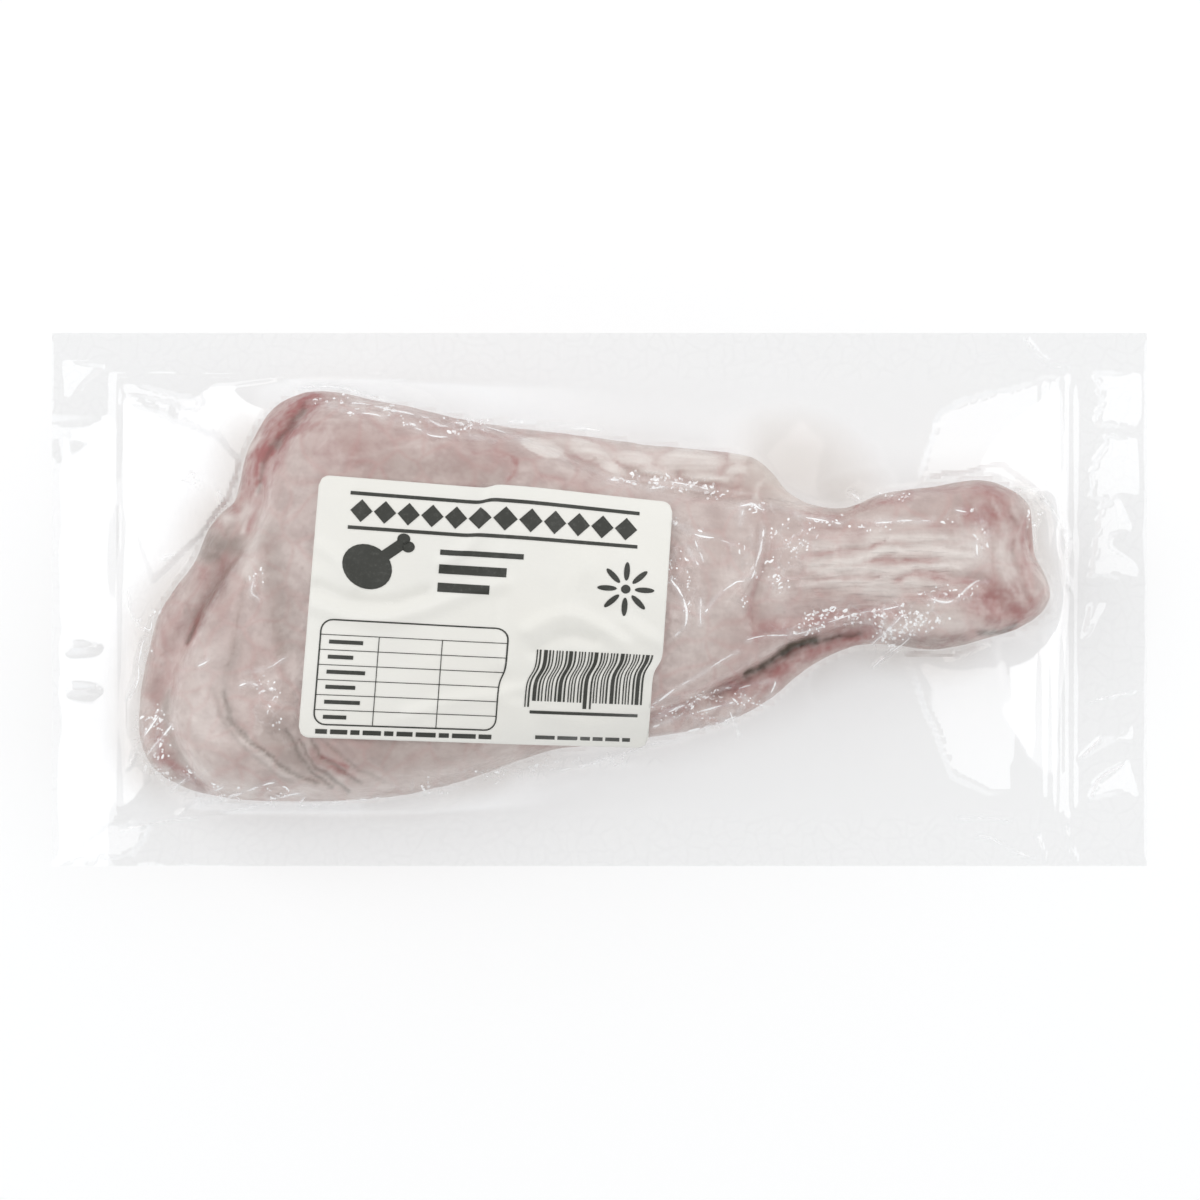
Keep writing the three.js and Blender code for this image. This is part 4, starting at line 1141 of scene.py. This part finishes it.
def painted_fold_glints(material):
    """Painted glints on the film's sharp edges, as thin pointed white ribbons that lie on it."""
    random = np.random.default_rng(7)
    places, faces, brightness = [], [], []
    for line, width, bright in itertools.chain(crease_strokes(random), crumple_strokes(random)):
        if len(line) < 3:
            continue
        ahead = np.gradient(line, axis=0)
        aside = np.column_stack([-ahead[:, 1], ahead[:, 0]]) / (np.hypot(*ahead.T)[:, None] + 1e-9)
        half = width / 2 * (np.sin(np.linspace(0.08, math.pi - 0.08, len(line))) ** 0.6)[:, None]
        start = len(places)
        for flat in (line + aside * half, line - aside * half):
            heights = film_at(film_top, *flat.T) + FOLD_LIFT
            places += np.column_stack([flat, heights]).tolist()
        brightness += [bright] * 2 * len(line)
        faces += [(start + i, start + i + 1, start + len(line) + i + 1, start + len(line) + i)
                  for i in range(len(line) - 1)]
    piece = new_piece("painted_fold_glints", np.array(places), faces, material, "clear_film", "vacuum_pouch")
    piece.visible_shadow = piece.visible_diffuse = False
    # bright: how strongly each painted glint shows
    paint(piece, "bright", np.array(brightness))
    return piece


# ---------------------------------------------------------------- the label's form

def film_at(heights, x, y):
    """Heights on the film's grid, read between its points."""
    u = (x - film_x[0]) / (film_x[1] - film_x[0])
    v = (y - film_y[0]) / (film_y[1] - film_y[0])
    i = np.clip(np.floor(u).astype(int), 0, len(film_x) - 2)
    j = np.clip(np.floor(v).astype(int), 0, len(film_y) - 2)
    u, v = u - i, v - j
    return (heights[i, j] * (1 - u) * (1 - v) + heights[i + 1, j] * u * (1 - v)
            + heights[i, j + 1] * (1 - u) * v + heights[i + 1, j + 1] * u * v)


under_label = smooth_max(blurred(film_top, 4.0), film_top, 0.8) + LABEL_GAP


def label_place(along, down):
    """A place on the label, from mm along it and mm down it, as its height above the table."""
    s, t = (along / LABEL_LENGTH)[:, None], (down / LABEL_WIDTH)[:, None]
    back = np.array(LABEL_BACK_LEFT) * (1 - s) + np.array(LABEL_BACK_RIGHT) * s
    front = np.array(LABEL_FRONT_LEFT) * (1 - s) + np.array(LABEL_FRONT_RIGHT) * s
    x, y = (back * (1 - t) + front * t).T.copy()
    bend = 1 / (1 + np.exp(-(down - 50.5 + 0.12 * (along - 80)) / 1.1))
    x = x + BEND_SHIFT * (0.5 - bend) * np.clip((along - 46) / 12, 0, 1)
    lap = 1 / (1 + np.exp(-(along - 47.6 + 0.3 * down) / 0.8)) * np.exp(-(down / 13) ** 2)
    y = y + LAP_SHIFT * lap * np.exp(-((along - 50) / 34) ** 2)
    z = film_at(under_label, x, y) + label_waves(along, down)
    return np.column_stack([x, y, z])


def label_waves(along, down):
    """The paper's own creases and soft waves, in mm."""
    fold = along - 47.6 + 0.3 * down
    step = 1.1 / (1 + np.exp(-fold / 0.7)) * np.exp(-((down + 1) / 13) ** 2) * np.exp(-(fold / 22) ** 2)
    total = LABEL_LIFT + step
    for height, width, line in PAPER_CREASES:
        total = total + 2.6 * height * near(line, width, along, down)
    bend = down - 50.5 + 0.12 * (along - 80)
    total = total + 0.8 / (1 + np.exp(bend / 1.4)) * np.clip((along - 50) / 14, 0, 1)
    return total + 0.12 * lumps(np.stack([along, down], axis=-1), 9, 81)


def label_form():
    """The label's two faces on a grid whose outer rows bend round the rounded corners."""
    alongs = np.linspace(0, LABEL_LENGTH, 141)
    radius = LABEL_CORNER_RADIUS
    places = []
    for along in alongs:
        from_end = min(along, LABEL_LENGTH - along)
        inset = radius - math.sqrt(radius**2 - max(radius - from_end, 0) ** 2)
        downs = np.linspace(inset, LABEL_WIDTH - inset, 106)
        places.append(label_place(np.full(downs.shape, along), downs))
    rows = 106
    under = np.vstack(places)
    over = under + [0, 0, LABEL_THICKNESS]
    count = len(under)
    faces = []
    for i, j in itertools.product(range(len(alongs) - 1), range(rows - 1)):
        quad = (i * rows + j, i * rows + j + 1, (i + 1) * rows + j + 1, (i + 1) * rows + j)
        faces += [quad, tuple(count + v for v in quad[::-1])]
    rim = [i * rows for i in range(len(alongs))]
    rim += [(len(alongs) - 1) * rows + j for j in range(1, rows)]
    rim += [i * rows + rows - 1 for i in range(len(alongs) - 2, -1, -1)]
    rim += [j for j in range(rows - 2, 0, -1)]
    faces += [(a, b, b + count, a + count) for a, b in zip(rim, rim[1:] + rim[:1])]
    return np.vstack([under, over]), faces


def label(material):
    places, faces = label_form()
    return new_piece("paper_label", places, faces, material, "label_paper", "label")


# ---------------------------------------------------------------- the label's print

PRINT_HEIGHT = 0.12
PRINT_CELL = 0.9


class Print:
    """Flat shapes of ink, in mm along and down the label, that lie on the paper."""

    def __init__(self):
        self.flat, self.faces = [], []

    def strip(self, one, other):
        """A band of ink between two lines of the same number of points."""
        start = len(self.flat)
        self.flat += [*one, *other]
        count = len(one)
        self.faces += [(start + i, start + i + 1, start + count + i + 1, start + count + i)
                       for i in range(count - 1)]

    def bar(self, left, top, length, height, slant=0.0):
        """A bar, split so that it follows the paper."""
        rows = max(1, math.ceil(height / PRINT_CELL))
        columns = max(1, math.ceil(length / PRINT_CELL))
        alongs = np.linspace(left, left + length, columns + 1)
        for i in range(rows):
            lines = [[(a + slant * (top + height * k / rows - top), top + height * k / rows) for a in alongs]
                     for k in (i, i + 1)]
            self.strip(*lines)

    def path(self, points, width, closed=False):
        """A line of ink through points, drawn with a round feel."""
        line = curve_through(points, closed, step=PRINT_CELL * 0.6)
        ahead = np.gradient(line, axis=0)
        if closed:
            ahead[0] = ahead[-1] = line[1] - line[-2]
        aside = np.column_stack([-ahead[:, 1], ahead[:, 0]]) / np.hypot(*ahead.T)[:, None] * width / 2
        self.strip((line + aside).tolist(), (line - aside).tolist())

    def disc(self, along, down, half_length, half_height, turn=0.0, rings=4):
        """A filled ellipse."""
        angles = np.linspace(0, 2 * math.pi, 29)
        circle = np.column_stack([np.cos(angles) * half_length, np.sin(angles) * half_height])
        turned = circle @ np.array([[math.cos(turn), math.sin(turn)], [-math.sin(turn), math.cos(turn)]])
        for i in range(rings):
            inner, outer = (turned * share / rings + (along, down) for share in (i + 0.001, i + 1))
            self.strip(inner.tolist(), outer.tolist())

    def lozenge(self, along, down, half_length, half_height):
        """A filled lozenge, split so that it follows the paper."""
        for low in np.linspace(-1, 0.8, 10):
            rows = [[(along + half_length * share * (1 - abs(row)), down + half_height * row)
                     for share in np.linspace(-1, 1, 11)] for row in (low, low + 0.2)]
            self.strip(*rows)

    def words(self, left, top, length, height, seed, gap=0.22):
        """A line of plain dashes with the rhythm of print."""
        random = np.random.default_rng(seed)
        at = left
        while at < left + length - height * 0.6:
            word = height * random.uniform(1.6, 5.5)
            word = min(word, left + length - at)
            self.bar(at, top, word, height)
            at += word + height * (gap + 0.45)

    def piece(self, material):
        flat = np.array(self.flat, float)
        places = label_place(flat[:, 0], flat[:, 1])
        places[:, 2] += LABEL_THICKNESS + PRINT_HEIGHT
        piece = new_piece("label_print", places, self.faces, material, "label_paper", "label")
        return piece


def heading(ink):
    """A plain heading band: a row of dark lozenges between two rules."""
    ink.bar(9.0, 3.8, 79.0, 1.0)
    ink.bar(9.0, 13.4, 79.0, 1.0)
    for i in range(12):
        ink.lozenge(12.4 + 6.56 * i, 9.1, 3.1, 3.2)


def drumstick_sign(ink):
    """A plain dark drumstick shape: a plump end, a shank and two bone knobs."""
    ink.disc(15.2, 24.6, 7.2, 6.0, turn=0.5, rings=8)
    ink.path([(18.8, 22.0), (21.7, 19.7), (24.3, 17.6)], 3.2)
    ink.disc(24.7, 16.2, 1.8, 1.6)
    ink.disc(26.1, 18.3, 1.8, 1.6)


def leaf_ring(ink):
    """A plain ornament: eight thin petals round a small disc."""
    centre = np.array([85.6, 26.4])
    for i in range(8):
        way = math.tau * i / 8
        ink.disc(*(centre + 5.2 * np.array([math.cos(way), math.sin(way)])), 2.7, 0.8, turn=way)
    ink.disc(*centre, 1.3, 1.3)


def rounded_box(left, top, right, bottom, radius):
    """The corners of a box with rounded corners, as a line of points."""
    outline = []
    for (x, y), turn in zip(((right, top), (right, bottom), (left, bottom), (left, top)), range(4)):
        centre = np.array([x - radius if x == right else x + radius, y + radius if y == top else y - radius])
        for angle in np.radians(np.linspace(-90, 0, 7) + 90 * turn):
            outline.append(centre + radius * np.array([math.cos(angle), math.sin(angle)]))
    return outline


def ruled_table(ink):
    """An outlined box with empty ruled rows, a column line and a short bar at the head of each row."""
    outline = rounded_box(3.9, 39.9, 54.6, 69.2, 3.2)
    points = [a + (b - a) * t for a, b in zip(outline, outline[1:] + outline[:1])
              for t in np.linspace(0, 1, max(2, int(np.hypot(*(b - a)) / 2)), False)]
    ink.path(points, 0.42, closed=True)
    for i in range(6):
        row = 44.0 + 4.2 * i
        ink.bar(3.9, row, 50.7, 0.22)
        ink.bar(6.4, row + 1.5, (9.4, 7.0, 10.6, 8.2, 9.8, 6.4)[i], 1.1)
    ink.bar(20.0, 44.0, 0.22, 25.2)
    ink.bar(37.4, 44.0, 0.22, 25.2)


def bar_code(ink):
    """Upright bars whose widths follow a simple rule, so they say nothing."""
    at, i = 62.4, 0
    while at < 95.2:
        width = (0.35, 0.7, 0.35, 1.05, 0.5, 0.35, 0.9)[(i * i + 3 * i) % 7]
        guard = i in (0, 1, 16, 17, 32, 33) or at > 94.2
        ink.bar(at, 45.4, width, 16.6 if guard else 14.8)
        at += width + (0.45, 0.7, 0.4, 0.95)[(i * 5 + i // 3) % 4]
        i += 1
    ink.bar(64.0, 63.0, 29.6, 0.9)


def label_print(material):
    ink = Print()
    heading(ink)
    drumstick_sign(ink)
    for top, length, height in ((18.4, 22.0, 1.5), (22.6, 18.0, 2.6), (27.8, 14.0, 2.6)):
        ink.bar(35.0, top, length, height)
    leaf_ring(ink)
    ruled_table(ink)
    bar_code(ink)
    ink.words(4.6, 70.5, 49.0, 1.3, 54)
    ink.words(66.0, 70.2, 26.0, 1.1, 55)
    return ink.piece(material)


# ---------------------------------------------------------------- floor, light and camera

def floor(material):
    mesh = bpy.data.meshes.new("studio_floor")
    half, steps = 12.0, 24
    line = np.linspace(-half, half, steps + 1)
    places = [(x, y, 0.0) for x in line for y in line]
    faces = [(i * (steps + 1) + j, (i + 1) * (steps + 1) + j, (i + 1) * (steps + 1) + j + 1, i * (steps + 1) + j + 1)
             for i in range(steps) for j in range(steps)]
    mesh.from_pydata(places, [], faces)
    mesh.materials.append(material)
    plane = bpy.data.objects.new("studio_floor", mesh)
    bpy.context.scene.collection.objects.link(plane)


def softbox(name, place, length, width, radiance):
    """A soft lamp that faces the pack: radiance is how bright its face looks."""
    lamp = bpy.data.lights.new(name, "AREA")
    lamp.shape = "RECTANGLE"
    lamp.size, lamp.size_y = length, width
    lamp.energy = radiance * length * width * math.pi
    holder = bpy.data.objects.new(name, lamp)
    holder.location = place
    holder.rotation_euler = (Vector((0, 0, 0.02)) - Vector(place)).to_track_quat("-Z", "Y").to_euler()
    holder.visible_camera = False
    bpy.context.scene.collection.objects.link(holder)


def studio_light():
    softbox("left_softbox", (-0.80, 0.25, 1.05), 1.5, 1.25, 1.6)
    softbox("right_softbox", (0.92, 0.25, 1.05), 1.5, 1.25, 1.6)


def studio_world():
    """Soft light all round: bright at the sides, dim straight above, where the camera is."""
    world = bpy.data.worlds.new("studio_world")
    bpy.context.scene.world = world
    world.use_nodes = True
    world.node_tree.nodes.clear()
    nodes = Nodes(world.node_tree)
    way = nodes.add("ShaderNodeTexCoord").outputs["Generated"]
    up = nodes.add("ShaderNodeSeparateXYZ", {0: way}).outputs["Z"]
    shade = nodes.add("ShaderNodeMapRange", {
        "Value": up, "From Min": 0.35, "From Max": 0.8, "To Min": 1.0, "To Max": 0.2},
        interpolation_type="SMOOTHSTEP")
    light = nodes.add("ShaderNodeBackground", {"Strength": shade.outputs["Result"], "Color": (0.98, 0.99, 1.0, 1)})
    nodes.add("ShaderNodeOutputWorld", {"Surface": light.outputs[0]})


def camera():
    """Straight above, far off with a long lens, so that the picture is as wide as the photo."""
    picture_width = 1200 * 0.27854 * MM
    distance = 9.0
    lens = bpy.data.cameras.new("camera")
    lens.sensor_width = 36
    lens.lens = 36 * (distance - MARGIN_HEIGHT * MM) / picture_width
    lens.clip_end = 60
    holder = bpy.data.objects.new("camera", lens)
    holder.location = (0.15 * MM, -0.15 * MM, distance)
    bpy.context.scene.collection.objects.link(holder)
    bpy.context.scene.camera = holder


bpy.context.scene.view_settings.view_transform = "Standard"
camera()
studio_light()
studio_world()
floor(studio_floor())
drumstick(skin_and_meat())
pouch(clear_film())
painted_fold_glints(painted_glints())
label(label_paper())
label_print(label_ink())
